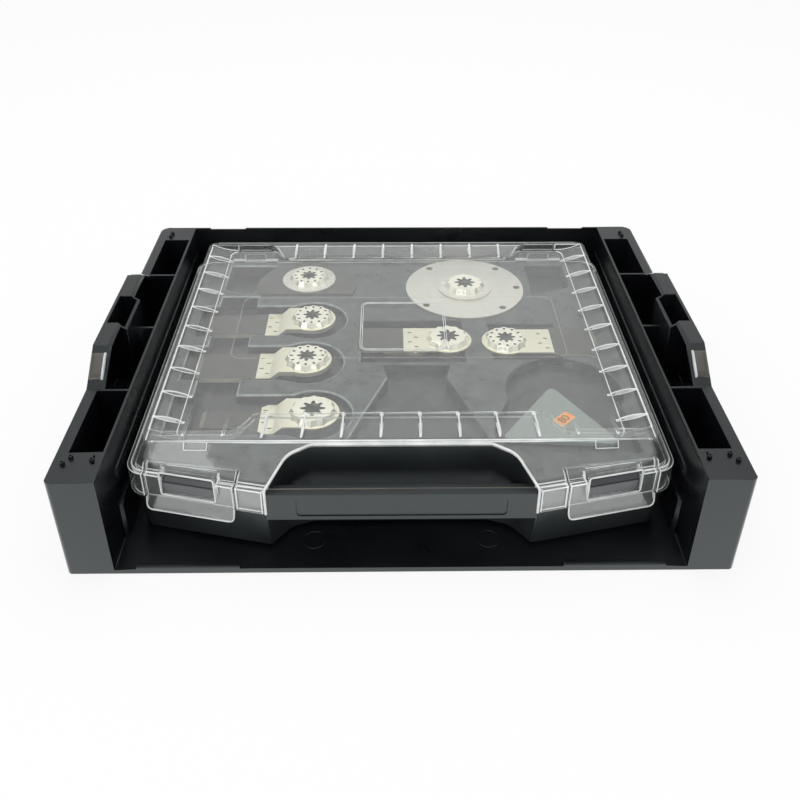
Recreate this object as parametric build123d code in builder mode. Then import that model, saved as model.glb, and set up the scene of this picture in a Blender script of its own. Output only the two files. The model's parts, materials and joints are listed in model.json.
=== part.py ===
from build123d import *
import os
from math import atan2, cos, degrees, hypot, radians, sin

# Saw blade storage case: a clear-lidded case of blades seated in an open-fronted stacking
# carrier tray. Millimetres, +Z up, +Y to the back, origin on the floor under the middle.

# ---- carrier tray
tray_width = 442.0
tray_depth = 357.0
rim_height = 79.3           # top of the side walls and posts
tray_skin = 2.2             # outer wall of the hollow sides
floor_thickness = 3.2
side_width = 31.4           # whole width of a hollow side wall
inner_skin = 1.9
rim_land = 7.7              # flat top edge outside the pockets
front_corner = 3.5          # radius of the tray's upright corners
back_corner = 9.0
front_post = 29.6
rear_post = 26.0
rib_thickness = 2.0
rib_places = (-81.5, 2.0, 85.5)
back_wall = 1.8
back_step_from = 142.5      # the back wall is lower between these two distances
back_step_to = 176.5
back_step_depth = 2.2
lip_from = 107.0            # raised part of the front lip
lip_to = 175.0
lip_height = 2.3
lip_depth = 4.0
post_hole_diameter = 2.0
post_hole_depth = 3.0

# ---- raised hoops on the side walls
hoop_height = 98.0
hoop_top = 52.0             # half length of the flat top
hoop_base = 81.0            # half length where the slopes meet the rim
hoop_land = 13.0
hoop_skin = 2.4
hoop_bevel = 2.5
notch_half = 20.0           # catch pocket in the hoop's top
notch_centre = -2.0
notch_reach = 15.0          # from the tray's side to the pocket's inner face
notch_wall = 2.0
notch_floor = 52.0
notch_drop = 5.0            # the inner wall's top is lower than the hoop
pad_half = 6.2              # glossy pad let into each slope
pad_depth = 0.7

# ---- stacking latches on the tray's outer sides
latch_half = 32.0
latch_top = 46.0
latch_thickness = 3.0
latch_pin_diameter = 3.0
latch_pin_height = 39.0
latch_barrel = 6.0
latch_clearance = 0.5
latch_hook = 6.0
latch_foot = 3.4
latch_grip_top = 12.0
pin_clearance = 0.06        # radial, between a pin and the piece that turns on it
housing_wall = 2.4
housing_depth = 10.6

# ---- rails that carry the case
rail_height = 2.8
rail_width = 8.0
rail_spacing = 240.0
rail_length = 290.0
guide_height = 33.0
guide_depth = 3.0
guide_length = 34.0

# ---- case, outer form
case_half = 183.7           # half width over the lid's skirt
case_back = 154.0
case_front = -164.0         # front face between the latches and the handle
front_slant_from = 90.0     # the front sweeps back outside this distance
front_slant_back = 21.7     # how far it has gone back at the case's side
plan_radius = 14.0
parting_height = 38.0       # lower edge of the lid's skirt
crease_height = 57.0
lid_height = 76.0
ledge = 3.0
rim_half = 172.0
rim_front = -134.5
rim_back = 153.0
lid_wall = 2.2
lid_gap = 0.6               # between skirt and base
skirt_rear_end = 136.0      # the skirt stops short of the hinge corners

# ---- lid top
rim_width = 2.6
band_side = 150.0
band_front = -106.0
band_back = 134.0
band_depth = 4.4
panel_height = 70.0
panel_half = 150.5
panel_front = -98.5
panel_front_ear = -121.0
panel_back = 130.5
panel_back_ear = 149.0
ear_inner = 102.0
ear_slope = 11.0
panel_round = 7.0
cove_middle = (157.5, 71.3)  # the band is a cove at the sides, from the rim down into the panel
cove_end = 146.0
fin_thickness = 1.4
fin_pitch_x = 26.4
fin_count_x = 12
fin_pitch_y = 29.3
fin_count_y = 9
fin_middle_y = 10.2
fin_foot = 0.6              # a fin's low end stands this far over the band and the panel

# ---- finger recess, half outline from the front inwards
recess_mouth = 91.0
recess_flare = 0.7
recess_waist = 75.5
recess_waist_depth = 22.0
recess_inner = 60.0
recess_depth = 27.5
recess_wall = 2.2

# ---- case base
base_floor = 6.0
base_wall = 2.2
base_draft = 2.6
base_rim = 54.2
base_back = 150.9
base_back_rim = 53.2

# ---- handle
handle_bottom = 33.0
handle_top = 54.4
handle_depth = 10.0
handle_wall = 2.4
handle_plate_half = 69.0
handle_plate_depth = 0.8

# ---- hinges
hinge_y = 154.4
hinge_z = 54.5
hinge_from = 112.0
hinge_length = 40.0
hinge_radius = 3.0
hinge_pin_diameter = 2.6
hinge_gap = 0.4
hinge_middle = 19.0         # length of the lid's knuckle

# ---- lid latches and their catches
tab_centre = 140.3
tab_half = 31.0
tab_top = 62.4
tab_bottom = 28.6
tab_reach = 16.0            # depth within which the tab's wall lies behind the skirt's face
tab_gap = 1.3
tab_joint_gap = 0.6
lip_flare = 2.2
window_half = 18.2
window_bottom = 43.8
window_top = 61.0
frame_width = 1.6
frame_proud = 0.9
catch_gap = 0.5
catch_drop = 1.2
catch_proud = 0.1           # how far the catch stays behind the skirt's face
catch_step = 52.8
catch_top = 56.6
frame_inward = 7.2
slit_end_radius = 0.95
tab_corner = 4.0
slope_clearance = 0.9       # between the recess wall's top and the lid's slope
handle_rib_pitch = 30.0

# ---- insert
insert_top = 58.5
insert_wall = 1.6
insert_gap = 0.6
insert_inset = 9.5
insert_back = 146.8
well_radius = 28.0
well_half = 23.0
post_radius = 12.0
row_end = -166.0
centre_floor = 51.0
finger_floor = 46.0
sheet_floor = 50.0
centre_well = [(-30, -17), (52, -17), (52, 44), (-30, 44)]
wide_well = [(74, -14), (128, -14), (128, 38), (74, 38)]
left_trough = [(-152, -98), (-121, -98), (-121, 84), (-152, 84)]
back_left_well = [(-152, 96), (-128, 90), (-108, 128), (-112, 140), (-152, 140)]
back_right_well = [(118, 86), (152, 100), (152, 140), (118, 140)]
sheet_well_middle = [(-12.5, -21), (39.4, -21), (35.3, -38.5), (51, -82.5), (64, -119), (-39, -119),
                     (-26, -82.5), (-9, -38.5)]
sheet_well_right = [(100, -22), (158, -40), (164, -126), (66, -126), (66, -100), (78, -70)]
dome = (122.0, -56.0, 43.0)

# ---- blades
rows = {
    "one": dict(x=-71.5, y=45.0, lower=54.0, spares=2),
    "two": dict(x=-71.5, y=-17.2, lower=55.0, spares=2),
    "three": dict(x=-62.6, y=-83.4, lower=54.0, spares=0),
}
centre_hub = (39.4, 12.4)
under_hub = (13.5, 21.0)
right_hub = (85.7, 10.0)
big_disc = (59.0, 97.0)
segment_disc = (-80.0, 103.0)
segment_hub = (-79.0, 111.0)
sheet_middle = [(12.4, -50.7), (58, -115), (-33, -115)]
sheet_right = [(114.8, -43.0), (155, -112), (70, -106)]
sheet_stack = 3.0
disc_hole_ring = 46.0
disc_hole_turns = (0, 48, 130, 221, 311)
disc_hole_diameter = 6.0
plate_bore = 10.5
neck_round = 19.0
blade_thickness = 1.2
hub_diameter = 35.0
hub_top_diameter = 30.5
hub_height = 3.8
hub_wall = 0.9
hub_wave = 0.8
plain_star = (8.9, 5.2)     # radius at the star's tips and between them
slotted_star = (7.5, 4.6)
star_tip_half = 0.9
star_points = 8
slot_ring = 12.2
slot_count = 12
neck_half = 17.0            # half width of a blade's plate
neck_length = 20.5          # from hub centre to the crank
crank_length = 7.0
crank_drop = 6.0
disc_diameter = 103.4
segment_diameter = 86.8
segment_chord = 17.0
washer_diameter = 47.0
washer_thickness = 1.4

os.makedirs("parts", exist_ok=True)
half_width = tray_width / 2
half_depth = tray_depth / 2
inner_face = half_width - side_width
slant = front_slant_back / (case_half - front_slant_from)
slant_angle = degrees(atan2(front_slant_back, case_half - front_slant_from))

base_inset = lid_wall + lid_gap
base_foot_inset = base_inset + base_draft
ledge_under = crease_height - lid_wall
band_height = lid_height - band_depth
band_under = lid_wall + 0.05
band_front_start = rim_front + rim_width
band_back_start = rim_back - rim_width
crease_side_front = case_front + slant * (case_half - ledge - front_slant_from) + ledge * hypot(1, slant)
slope_rise = (lid_height - crease_height) / (rim_front - case_front - ledge)
slope_front = case_front + ledge
slope_low = crease_height - lid_wall * hypot(1, slope_rise) - slope_clearance
side_lean = (case_half - ledge - rim_half) / (lid_height - crease_height)
inner_half = case_half - ledge - lid_wall * hypot(1, side_lean)
inner_front = slope_front + lid_wall * hypot(1, 1 / slope_rise)
wall_start = inner_front + lid_gap
inner_side_front = crease_side_front + lid_wall * 1.05
panel_points = [(ear_inner, panel_front), (ear_inner + ear_slope, panel_front_ear),
                (panel_half, panel_front_ear), (panel_half, panel_back_ear),
                (ear_inner + ear_slope, panel_back_ear), (ear_inner, panel_back),
                (-ear_inner, panel_back), (-ear_inner - ear_slope, panel_back_ear),
                (-panel_half, panel_back_ear), (-panel_half, panel_front_ear),
                (-ear_inner - ear_slope, panel_front_ear), (-ear_inner, panel_front)]
bar_front = case_front + 0.5
bar_half = recess_mouth - 1.6
bar_shoulder = case_front + base_inset + 0.2
catch_half = window_half - catch_gap
base_knuckle = (hinge_length - hinge_middle) / 2 - hinge_gap
fin_low = max(band_height, panel_height) + fin_foot
tab_y = case_front + slant * (tab_centre - front_slant_from)
along = (cos(radians(slant_angle)), sin(radians(slant_angle)))


def tab_face_plane(side):
    # on the skirt's outer face behind a latch tab: X along the skirt, Y up, Z inwards
    return Plane(origin=(side * tab_centre, tab_y, 0), x_dir=(-along[0], -side * along[1], 0),
                 z_dir=(-side * along[1], along[0], 0))


def tab_side_plane(side, half):
    # at one end of a width of 2 * half: X inwards from the skirt's face, Y up, Z along the skirt
    start = (side * tab_centre - half * along[0], tab_y - half * side * along[1], 0)
    return Plane(origin=start, x_dir=(-side * along[1], along[0], 0), z_dir=(along[0], side * along[1], 0))


def save(piece, name):
    piece.label = name
    export_step(piece, "parts/" + name + ".step")


# ==== carrier tray ====
pocket_outer = half_width - rim_land
pocket_inner = inner_face + inner_skin
pocket_ends = [-half_depth + front_post]
for place in rib_places:
    pocket_ends += [place - rib_thickness / 2, place + rib_thickness / 2]
pocket_ends.append(half_depth - rear_post)
hoop_outline = [(-hoop_base, rim_height), (-hoop_top, hoop_height),
                (hoop_top, hoop_height), (hoop_base, rim_height)]
hoop_hollow = [(-hoop_base + 2, rim_height - 0.5), (-hoop_base + 6, rim_height),
               (-hoop_top + 1, hoop_height - hoop_skin), (hoop_top - 1, hoop_height - hoop_skin),
               (hoop_base - 6, rim_height), (hoop_base - 2, rim_height - 0.5)]
notch_face = half_width - notch_reach
latch_face = half_width - 0.6
insert_foot = base_floor + base_wall
latch_pin_x = half_width - latch_barrel / 2 - 0.8
pin_half = latch_half + latch_clearance + housing_wall - 0.6
pin_seat = 0.02
pad_middle = ((hoop_base + hoop_top) / 2, (rim_height + hoop_height) / 2)
pad_tilt = degrees(atan2(hoop_height - rim_height, hoop_base - hoop_top))

with BuildPart() as tray_side:
    # the right-hand side wall with its posts, pockets, hoop and latch housing
    with BuildSketch(Plane.XY):
        with Locations((half_width - side_width / 2, 0)):
            Rectangle(side_width, tray_depth)
    extrude(amount=rim_height)
    with BuildSketch(Plane.YZ.offset(half_width - hoop_land)):
        Polygon(*hoop_outline, (hoop_base, rim_height - 4), (-hoop_base, rim_height - 4), align=None)
    extrude(amount=hoop_land)
    fillet(edges().filter_by(Axis.Z).group_by(Axis.X)[-1].sort_by(Axis.Y)[0], radius=front_corner)
    fillet(edges().filter_by(Axis.Z).group_by(Axis.X)[-1].sort_by(Axis.Y)[-1], radius=back_corner)
    bevelled = edges().filter_by(Axis.Y).group_by(Axis.Z)[-1].sort_by(Axis.X)[0]
    chamfer(bevelled, length=hoop_bevel)
    # pockets moulded from the top
    for start, end in zip(pocket_ends[0::2], pocket_ends[1::2]):
        outer = half_width - tray_skin if max(abs(start), abs(end)) < hoop_base + 5 else pocket_outer
        with BuildSketch(Plane.XY.offset(floor_thickness)):
            with Locations(((pocket_inner + outer) / 2, (start + end) / 2)):
                Rectangle(outer - pocket_inner, end - start)
        extrude(amount=rim_height - floor_thickness, mode=Mode.SUBTRACT)
    # the hoop is an angle, open to the inside
    with BuildSketch(Plane.YZ.offset(pocket_inner)):
        Polygon(*hoop_hollow, align=None)
    extrude(amount=half_width - tray_skin - pocket_inner, mode=Mode.SUBTRACT)
    # posts moulded hollow from below
    for start, end in ((-half_depth, pocket_ends[0]), (pocket_ends[-1], half_depth)):
        with BuildSketch(Plane.XY):
            with Locations(((pocket_inner + half_width - tray_skin) / 2, (start + end) / 2)):
                Rectangle(side_width - inner_skin - tray_skin, end - start - 2 * tray_skin)
            hollow_corner = (front_corner if start < 0 else back_corner) - tray_skin
            fillet(vertices().group_by(Axis.X)[-1], radius=hollow_corner)
        extrude(amount=rim_height - tray_skin, mode=Mode.SUBTRACT)
    # catch pocket in the hoop, with its inner wall lower than the hoop
    with BuildSketch(Plane.XZ.offset(-notch_centre - notch_half - notch_wall)):
        Polygon((half_width - tray_skin / 2, notch_floor - notch_wall),
                (half_width - tray_skin / 2, hoop_height - hoop_skin / 2),
                (half_width - hoop_land + hoop_bevel, hoop_height - hoop_skin / 2),
                (notch_face - notch_wall, hoop_height - notch_drop),
                (notch_face - notch_wall, notch_floor - notch_wall), align=None)
    extrude(amount=2 * (notch_half + notch_wall))
    with BuildSketch(Plane.XY.offset(notch_floor)):
        with Locations(((notch_face + half_width - tray_skin) / 2, notch_centre)):
            Rectangle(half_width - tray_skin - notch_face, 2 * notch_half)
    extrude(amount=hoop_height, mode=Mode.SUBTRACT)
    # glossy pads let into the slopes
    for end in (-1, 1):
        slope_plane = Plane(origin=(half_width - hoop_land / 2, end * pad_middle[0], pad_middle[1]),
                            x_dir=(1, 0, 0), z_dir=(0, end * sin(radians(pad_tilt)), cos(radians(pad_tilt))))
        with BuildSketch(slope_plane.offset(-pad_depth)):
            Rectangle(hoop_land - 2.4, 2 * pad_half)
        extrude(amount=2 * pad_depth, mode=Mode.SUBTRACT)
    # housing and holes of the stacking latch
    with BuildSketch(Plane.XY):
        with Locations((half_width - (housing_depth + housing_wall) / 2, 0)):
            Rectangle(housing_depth + housing_wall, 2 * (latch_half + latch_clearance + housing_wall))
    extrude(amount=latch_top + housing_wall)
    with BuildSketch(Plane.XY.offset(-floor_thickness)):
        with Locations((half_width - housing_depth / 2, 0)):
            Rectangle(housing_depth, 2 * (latch_half + latch_clearance))
    extrude(amount=latch_top + floor_thickness, mode=Mode.SUBTRACT)
    with BuildSketch(Plane.XZ.offset(-pin_half)):
        with Locations((latch_pin_x, latch_pin_height)):
            Circle(latch_pin_diameter / 2 + pin_seat)
    extrude(amount=2 * pin_half, mode=Mode.SUBTRACT)
    # small holes and a slot in the post tops
    with BuildSketch(Plane.XY.offset(rim_height - post_hole_depth)):
        with Locations((half_width - 7.2, -half_depth + 17.6), (half_width - 10.8, -half_depth + 23.6),
                       (half_width - 12.0, half_depth - 14.0)):
            Circle(post_hole_diameter / 2)
        with Locations((inner_face + 6.0, -half_depth + 22.0)):
            SlotOverall(9.0, 1.4, rotation=80)
    extrude(amount=2 * post_hole_depth, mode=Mode.SUBTRACT)
    # guide that steers the case between the posts
    with BuildSketch(Plane.XY.offset(floor_thickness)):
        with Locations((inner_face - guide_depth / 2, -half_depth + front_post + guide_length / 2)):
            Rectangle(guide_depth, guide_length)
    extrude(amount=guide_height - floor_thickness)
    guide_nose = edges().filter_by(Axis.Z).group_by(Axis.X)[0].sort_by(Axis.Y)[0]
    chamfer(guide_nose, length=guide_depth - 0.4)

with BuildPart() as carrier_tray:
    add(tray_side.part)
    mirror(about=Plane.YZ)
    with BuildSketch(Plane.XY):
        Rectangle(2 * inner_face + 1, tray_depth)
    extrude(amount=floor_thickness)
    # back wall, lower beside the posts
    with BuildSketch(Plane.XZ.offset(-half_depth)):
        Polygon((-inner_face - 0.5, 0), (inner_face + 0.5, 0), (inner_face + 0.5, rim_height),
                (back_step_to, rim_height), (back_step_to - 1.5, rim_height - back_step_depth),
                (back_step_from + 1.5, rim_height - back_step_depth), (back_step_from, rim_height),
                (-back_step_from, rim_height), (-back_step_from - 1.5, rim_height - back_step_depth),
                (-back_step_to + 1.5, rim_height - back_step_depth), (-back_step_to, rim_height),
                (-inner_face - 0.5, rim_height), align=None)
    extrude(amount=back_wall)
    # raised parts of the front lip
    with BuildSketch(Plane.XY.offset(floor_thickness)):
        with Locations(((lip_from + lip_to) / 2, -half_depth + lip_depth / 2),
                       (-(lip_from + lip_to) / 2, -half_depth + lip_depth / 2)):
            Rectangle(lip_to - lip_from, lip_depth)
    extrude(amount=lip_height)
    # rails under the case
    with BuildSketch(Plane.XY.offset(floor_thickness)):
        with Locations((-rail_spacing / 2, 0), (rail_spacing / 2, 0)):
            Rectangle(rail_width, rail_length)
    extrude(amount=rail_height)
save(carrier_tray.part, "carrier_tray")


# ==== case ====
lean = hypot(1, slant)                      # length of the slanted front per mm of X


def plan_points(half, front, side_front, back):
    return [(half, back), (half, side_front), (front_slant_from, front),
            (-front_slant_from, front), (-half, side_front), (-half, back)]


def draw_plan(half, front, side_front, back, front_radius, back_radius):
    # the case's outline in plan, swept back at the front corners and rounded at all four
    Polygon(*plan_points(half, front, side_front, back), align=None)
    corners = vertices().sort_by(Axis.X)
    fillet(corners[:2].sort_by(Axis.Y)[:1] + corners[-2:].sort_by(Axis.Y)[:1], radius=front_radius)
    corners = vertices().group_by(Axis.Y)[-1]
    fillet(corners, radius=back_radius)


def draw_inset_plan(inset, back):
    half = case_half - inset
    front = case_front + inset
    side_front = case_front + slant * (half - front_slant_from) + inset * lean
    draw_plan(half, front, side_front, back, plan_radius - inset / 3, plan_radius - inset / 3)


def draw_recess(grow):
    # the finger recess in plan, wider at its mouth, grown outwards by a wall
    with BuildLine() as outline:
        right = FilletPolyline((recess_mouth + 8 * recess_flare, case_front - 8), (recess_mouth, case_front),
                               (recess_waist, case_front + recess_waist_depth),
                               (recess_inner, case_front + recess_depth),
                               (0, case_front + recess_depth), radius=(60, 16, 12))
        mirror(right, about=Plane.YZ)
        Line((recess_mouth + 8 * recess_flare, case_front - 8),
             (-recess_mouth - 8 * recess_flare, case_front - 8))
    make_face(outline.edges())
    if grow:
        offset(amount=grow)


# ---- case base
with BuildPart() as base_cavity:
    with BuildSketch(Plane.XY.offset(base_floor + base_wall)):
        draw_inset_plan(base_foot_inset + base_wall, base_back - base_wall - base_draft / 2)
    with BuildSketch(Plane.XY.offset(parting_height)):
        draw_inset_plan(base_inset + base_wall, base_back - base_wall)
    loft(ruled=True)
    with BuildSketch(Plane.XY.offset(parting_height)):
        draw_inset_plan(base_inset + base_wall, base_back - base_wall)
    extrude(amount=lid_height)
    with BuildSketch(Plane.XY):
        draw_recess(recess_wall)
    extrude(amount=2 * lid_height, mode=Mode.SUBTRACT)

with BuildPart() as case_base:
    with BuildSketch(Plane.XY.offset(base_floor)):
        draw_inset_plan(base_foot_inset, base_back - base_draft / 2)
    with BuildSketch(Plane.XY.offset(parting_height)):
        draw_inset_plan(base_inset, base_back)
    loft(ruled=True)
    with BuildSketch(Plane.XY.offset(parting_height)):
        draw_inset_plan(base_inset, base_back)
    extrude(amount=base_rim - parting_height)
    # the finger recess wall stands up under the lid's front slope
    with BuildSketch(Plane.XY.offset(parting_height)):
        draw_recess(recess_wall)
        with Locations((0, case_front + base_inset + recess_depth)):
            Rectangle(3 * recess_mouth, 2 * recess_depth, mode=Mode.INTERSECT)
    extrude(amount=lid_height - parting_height)
    add(base_cavity.part, mode=Mode.SUBTRACT)
    with BuildSketch(Plane.XY):
        draw_recess(0)
    extrude(amount=lid_height, mode=Mode.SUBTRACT)
    with BuildSketch(Plane.YZ.offset(-1.5 * recess_mouth)):
        Polygon((case_front - 10, base_rim), (wall_start, base_rim),
                (wall_start, slope_low + slope_rise * (wall_start - slope_front)),
                (rim_front + 4, slope_low + slope_rise * (rim_front + 4 - slope_front)),
                (rim_front + 4, lid_height + 4), (case_front - 10, lid_height + 4), align=None)
    extrude(amount=3 * recess_mouth, mode=Mode.SUBTRACT)
    # lower rim along the hinges
    with BuildSketch(Plane.XY.offset(base_back_rim)):
        with Locations((0, base_back)):
            Rectangle(2 * case_half, 2 * plan_radius)
    extrude(amount=lid_height, mode=Mode.SUBTRACT)
    # handle bar, open below, between the front blocks
    with BuildSketch(Plane.XY.offset(handle_bottom)):
        Polygon((-bar_half, bar_front), (bar_half, bar_front), (bar_half, bar_shoulder),
                (recess_mouth + 1, bar_shoulder), (recess_mouth - 4, bar_front + handle_depth),
                (4 - recess_mouth, bar_front + handle_depth), (-recess_mouth - 1, bar_shoulder),
                (-bar_half, bar_shoulder), align=None)
    extrude(amount=handle_top - handle_bottom)
    with BuildSketch(Plane.XY.offset(handle_bottom)):
        with Locations((0, bar_front + handle_depth / 2)):
            Rectangle(2 * (bar_half - 8), handle_depth - 2 * handle_wall)
    extrude(amount=handle_top - handle_bottom - handle_wall, mode=Mode.SUBTRACT)
    with BuildSketch(Plane.XY.offset(handle_bottom)):
        with Locations((0, bar_front + handle_depth / 2)):
            with GridLocations(handle_rib_pitch, 0, 5, 1):
                Rectangle(handle_wall / 2, handle_depth - 2 * handle_wall)
    extrude(amount=handle_top - handle_bottom - handle_wall)
    with BuildSketch(Plane.XZ.offset(-bar_front)):
        with Locations((0, (handle_bottom + handle_top) / 2)):
            RectangleRounded(2 * handle_plate_half, handle_top - handle_bottom - 6, 3)
    extrude(amount=-handle_plate_depth, mode=Mode.SUBTRACT)
    # catches behind the latch windows
    for side in (-1, 1):
        with BuildSketch(tab_side_plane(side, catch_half)):
            Polygon((catch_proud, window_bottom + catch_drop), (catch_proud, catch_step),
                    (catch_proud + 0.7, catch_step), (base_inset + 0.6, catch_top),
                    (base_inset + base_wall, catch_top),
                    (base_inset + base_wall, window_bottom + catch_drop), align=None)
        extrude(amount=2 * catch_half)
    # hinge knuckles, two to each hinge, on webs from the back wall
    for side in (-1, 1):
        for start in (hinge_from, hinge_from + hinge_length - base_knuckle):
            left = start if side == 1 else -start - base_knuckle
            with BuildSketch(Plane.YZ.offset(left)):
                with Locations((hinge_y, hinge_z)):
                    Circle(hinge_radius)
                Polygon((base_back - base_wall, hinge_z - 10), (base_back, hinge_z - 10),
                        (hinge_y + hinge_radius - 0.2, hinge_z - 1), (hinge_y, hinge_z),
                        (base_back - base_wall, base_back_rim), align=None)
                with Locations((hinge_y, hinge_z)):
                    Circle(hinge_pin_diameter / 2 + pin_seat, mode=Mode.SUBTRACT)
            extrude(amount=base_knuckle)
save(case_base.part, "case_base")

# ---- clear lid
def draw_coves(drop):
    # what lies over the hollow of the band at both sides, lowered by the lid's wall for its underside
    for side in (-1, 1):
        with BuildLine() as outline:
            rim_point = (side * (rim_half - rim_width), lid_height - drop)
            end_point = (side * cove_end, panel_height - drop)
            ThreePointArc(rim_point, (side * cove_middle[0], cove_middle[1] - drop), end_point)
            Polyline(end_point, (side * cove_end, lid_height + 2), (rim_point[0], lid_height + 2), rim_point)
        make_face(outline.edges())


with BuildPart() as lid_cavity:
    with BuildSketch(Plane.XY.offset(parting_height - 1)):
        draw_inset_plan(lid_wall, case_back - lid_wall)
    extrude(amount=ledge_under - parting_height + 1)
    with BuildSketch(Plane.XY.offset(ledge_under)):
        draw_plan(inner_half, inner_front, inner_side_front, case_back - 3, plan_radius - 4, plan_radius - 4)
    extrude(amount=crease_height - ledge_under)
    with BuildSketch(Plane.XY.offset(crease_height)):
        draw_plan(inner_half, inner_front, inner_side_front, case_back - 3, plan_radius - 4, plan_radius - 4)
    with BuildSketch(Plane.XY.offset(lid_height - lid_wall)):
        draw_plan(rim_half - 1.4, rim_front + 0.7, rim_front + 2.4, rim_back - 2.4, 6, 6)
    loft(ruled=True)
    # what stays solid under the band and the middle panel
    with BuildSketch(Plane.XY.offset(band_height - band_under)):
        with Locations((0, (band_front + band_back) / 2)):
            Rectangle(2 * band_side, band_back - band_front)
    with BuildSketch(Plane.XY.offset(lid_height - band_under)):
        with Locations((0, (rim_front + rim_back) / 2)):
            Rectangle(2 * (rim_half - rim_width), rim_back - rim_front - 2 * rim_width)
    loft(ruled=True, mode=Mode.SUBTRACT)
    with BuildSketch(Plane.XY.offset(lid_height - band_under)):
        with Locations((0, (rim_front + rim_back) / 2)):
            Rectangle(2 * (rim_half - rim_width), rim_back - rim_front - 2 * rim_width)
    extrude(amount=4, mode=Mode.SUBTRACT)
    with BuildSketch(Plane.XY.offset(panel_height - lid_wall)):
        Polygon(*panel_points, align=None)
        fillet(vertices(), radius=panel_round)
        offset(amount=lid_wall)
    extrude(amount=8, mode=Mode.SUBTRACT)
    with BuildSketch(Plane.XZ.offset(-panel_back_ear - lid_wall)):
        draw_coves(lid_wall)
    extrude(amount=panel_back_ear - panel_front_ear + 2 * lid_wall, mode=Mode.SUBTRACT)

with BuildPart() as lid_shell:
    with BuildSketch(Plane.XY.offset(parting_height)):
        draw_inset_plan(0, case_back)
    extrude(amount=crease_height - parting_height)
    with BuildSketch(Plane.XY.offset(crease_height)):
        draw_plan(case_half - ledge, case_front + ledge, crease_side_front, case_back - 0.6,
                  plan_radius - 2, plan_radius - 2)
    with BuildSketch(Plane.XY.offset(lid_height)):
        draw_plan(rim_half, rim_front, rim_front + 0.8, rim_back, 8, 8)
    loft(ruled=True)
    add(lid_cavity.part, mode=Mode.SUBTRACT)
    with BuildSketch(Plane.XY.offset(band_height)):
        with Locations((0, (band_front + band_back) / 2)):
            Rectangle(2 * band_side, band_back - band_front)
    with BuildSketch(Plane.XY.offset(lid_height)):
        with Locations((0, (rim_front + rim_back) / 2)):
            Rectangle(2 * (rim_half - rim_width), rim_back - rim_front - 2 * rim_width)
    loft(ruled=True, mode=Mode.SUBTRACT)
    with BuildSketch(Plane.XY.offset(panel_height)):
        Polygon(*panel_points, align=None)
        fillet(vertices(), radius=panel_round)
    extrude(amount=8, mode=Mode.SUBTRACT)
    with BuildSketch(Plane.XZ.offset(-panel_back_ear)):
        draw_coves(0)
    extrude(amount=panel_back_ear - panel_front_ear, mode=Mode.SUBTRACT)
    # finger recess, and no skirt at the hinge corners
    with BuildSketch(Plane.XY.offset(parting_height)):
        draw_recess(0)
    extrude(amount=lid_height, mode=Mode.SUBTRACT)
    with BuildSketch(Plane.XY.offset(parting_height)):
        with Locations((0, skirt_rear_end + case_back)):
            Rectangle(3 * case_half, 2 * case_back)
    extrude(amount=ledge_under - parting_height, mode=Mode.SUBTRACT)

with BuildPart() as lid:
    add(lid_shell.part)
    # fins across the band at the front and the back
    for column in range(fin_count_x):
        x = (column - (fin_count_x - 1) / 2) * fin_pitch_x
        in_ear = abs(x) > ear_inner + ear_slope / 2
        front_end = panel_front_ear if in_ear else panel_front
        back_end = panel_back_ear if in_ear else panel_back
        with BuildSketch(Plane.YZ.offset(x - fin_thickness / 2)):
            Polygon((band_front_start - 1, lid_height - 1), (band_front_start - 1, lid_height),
                    (band_front_start + 0.55 * (front_end - band_front_start), lid_height - 0.9),
                    (front_end, fin_low), (front_end, fin_low - 1),
                    (band_front_start + 2, lid_height - 1.4), align=None)
            Polygon((band_back_start + 1, lid_height - 1), (band_back_start + 1, lid_height),
                    (band_back_start + 0.55 * (back_end - band_back_start), lid_height - 0.9),
                    (back_end, fin_low), (back_end, fin_low - 1),
                    (band_back_start - 1, lid_height - 1.4), align=None)
        extrude(amount=fin_thickness)
    # fins across the band at the sides
    for row in range(fin_count_y):
        y = fin_middle_y + (row - (fin_count_y - 1) / 2) * fin_pitch_y
        with BuildSketch(Plane.XZ.offset(-y - fin_thickness / 2)):
            for side in (-1, 1):
                Polygon((side * (rim_half - 1), lid_height - 1), (side * (rim_half - 1), lid_height),
                        (side * (band_side + 14), lid_height - 0.2),
                        (side * (band_side + 9), lid_height - 1),
                        (side * (band_side + 3), lid_height - 3.2),
                        (side * (band_side - 1), panel_height + 0.3),
                        (side * (band_side - 1), panel_height - 1),
                        (side * cove_middle[0], cove_middle[1] - 1),
                        (side * (rim_half - rim_width - 1), lid_height - 1.4), align=None)
        extrude(amount=fin_thickness)
    # openings for the latch tabs, with round ends to the slits
    for side in (-1, 1):
        with BuildSketch(tab_face_plane(side)):
            with Locations((0, (tab_bottom + tab_top + tab_joint_gap) / 2 - 5)):
                Rectangle(2 * (tab_half + tab_gap), tab_top + tab_joint_gap - tab_bottom + 10)
            with Locations((-tab_half - tab_gap / 2, tab_top), (tab_half + tab_gap / 2, tab_top)):
                Circle(slit_end_radius)
        extrude(amount=tab_reach, mode=Mode.SUBTRACT)
    # room for the base's knuckles, and the lid's own knuckles
    for side in (-1, 1):
        middle = side * (hinge_from + hinge_length / 2)
        with BuildSketch(Plane.XY.offset(parting_height)):
            with Locations((middle, case_back)):
                Rectangle(hinge_length + 2 * hinge_gap, 6)
        extrude(amount=hinge_z + hinge_radius + 1 - parting_height, mode=Mode.SUBTRACT)
        with BuildSketch(Plane.YZ.offset(middle - hinge_middle / 2)):
            with Locations((hinge_y, hinge_z)):
                Circle(hinge_radius)
            Polygon((hinge_y - 2.2, hinge_z + 1.4), (hinge_y + 2.2, hinge_z + 1.4),
                    (case_back - 0.7, hinge_z + 9), (case_back - 2.4, hinge_z + 9), align=None)
            with Locations((hinge_y, hinge_z)):
                Circle(hinge_pin_diameter / 2 + pin_clearance, mode=Mode.SUBTRACT)
        extrude(amount=hinge_middle)
save(lid.part, "lid")

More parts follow.
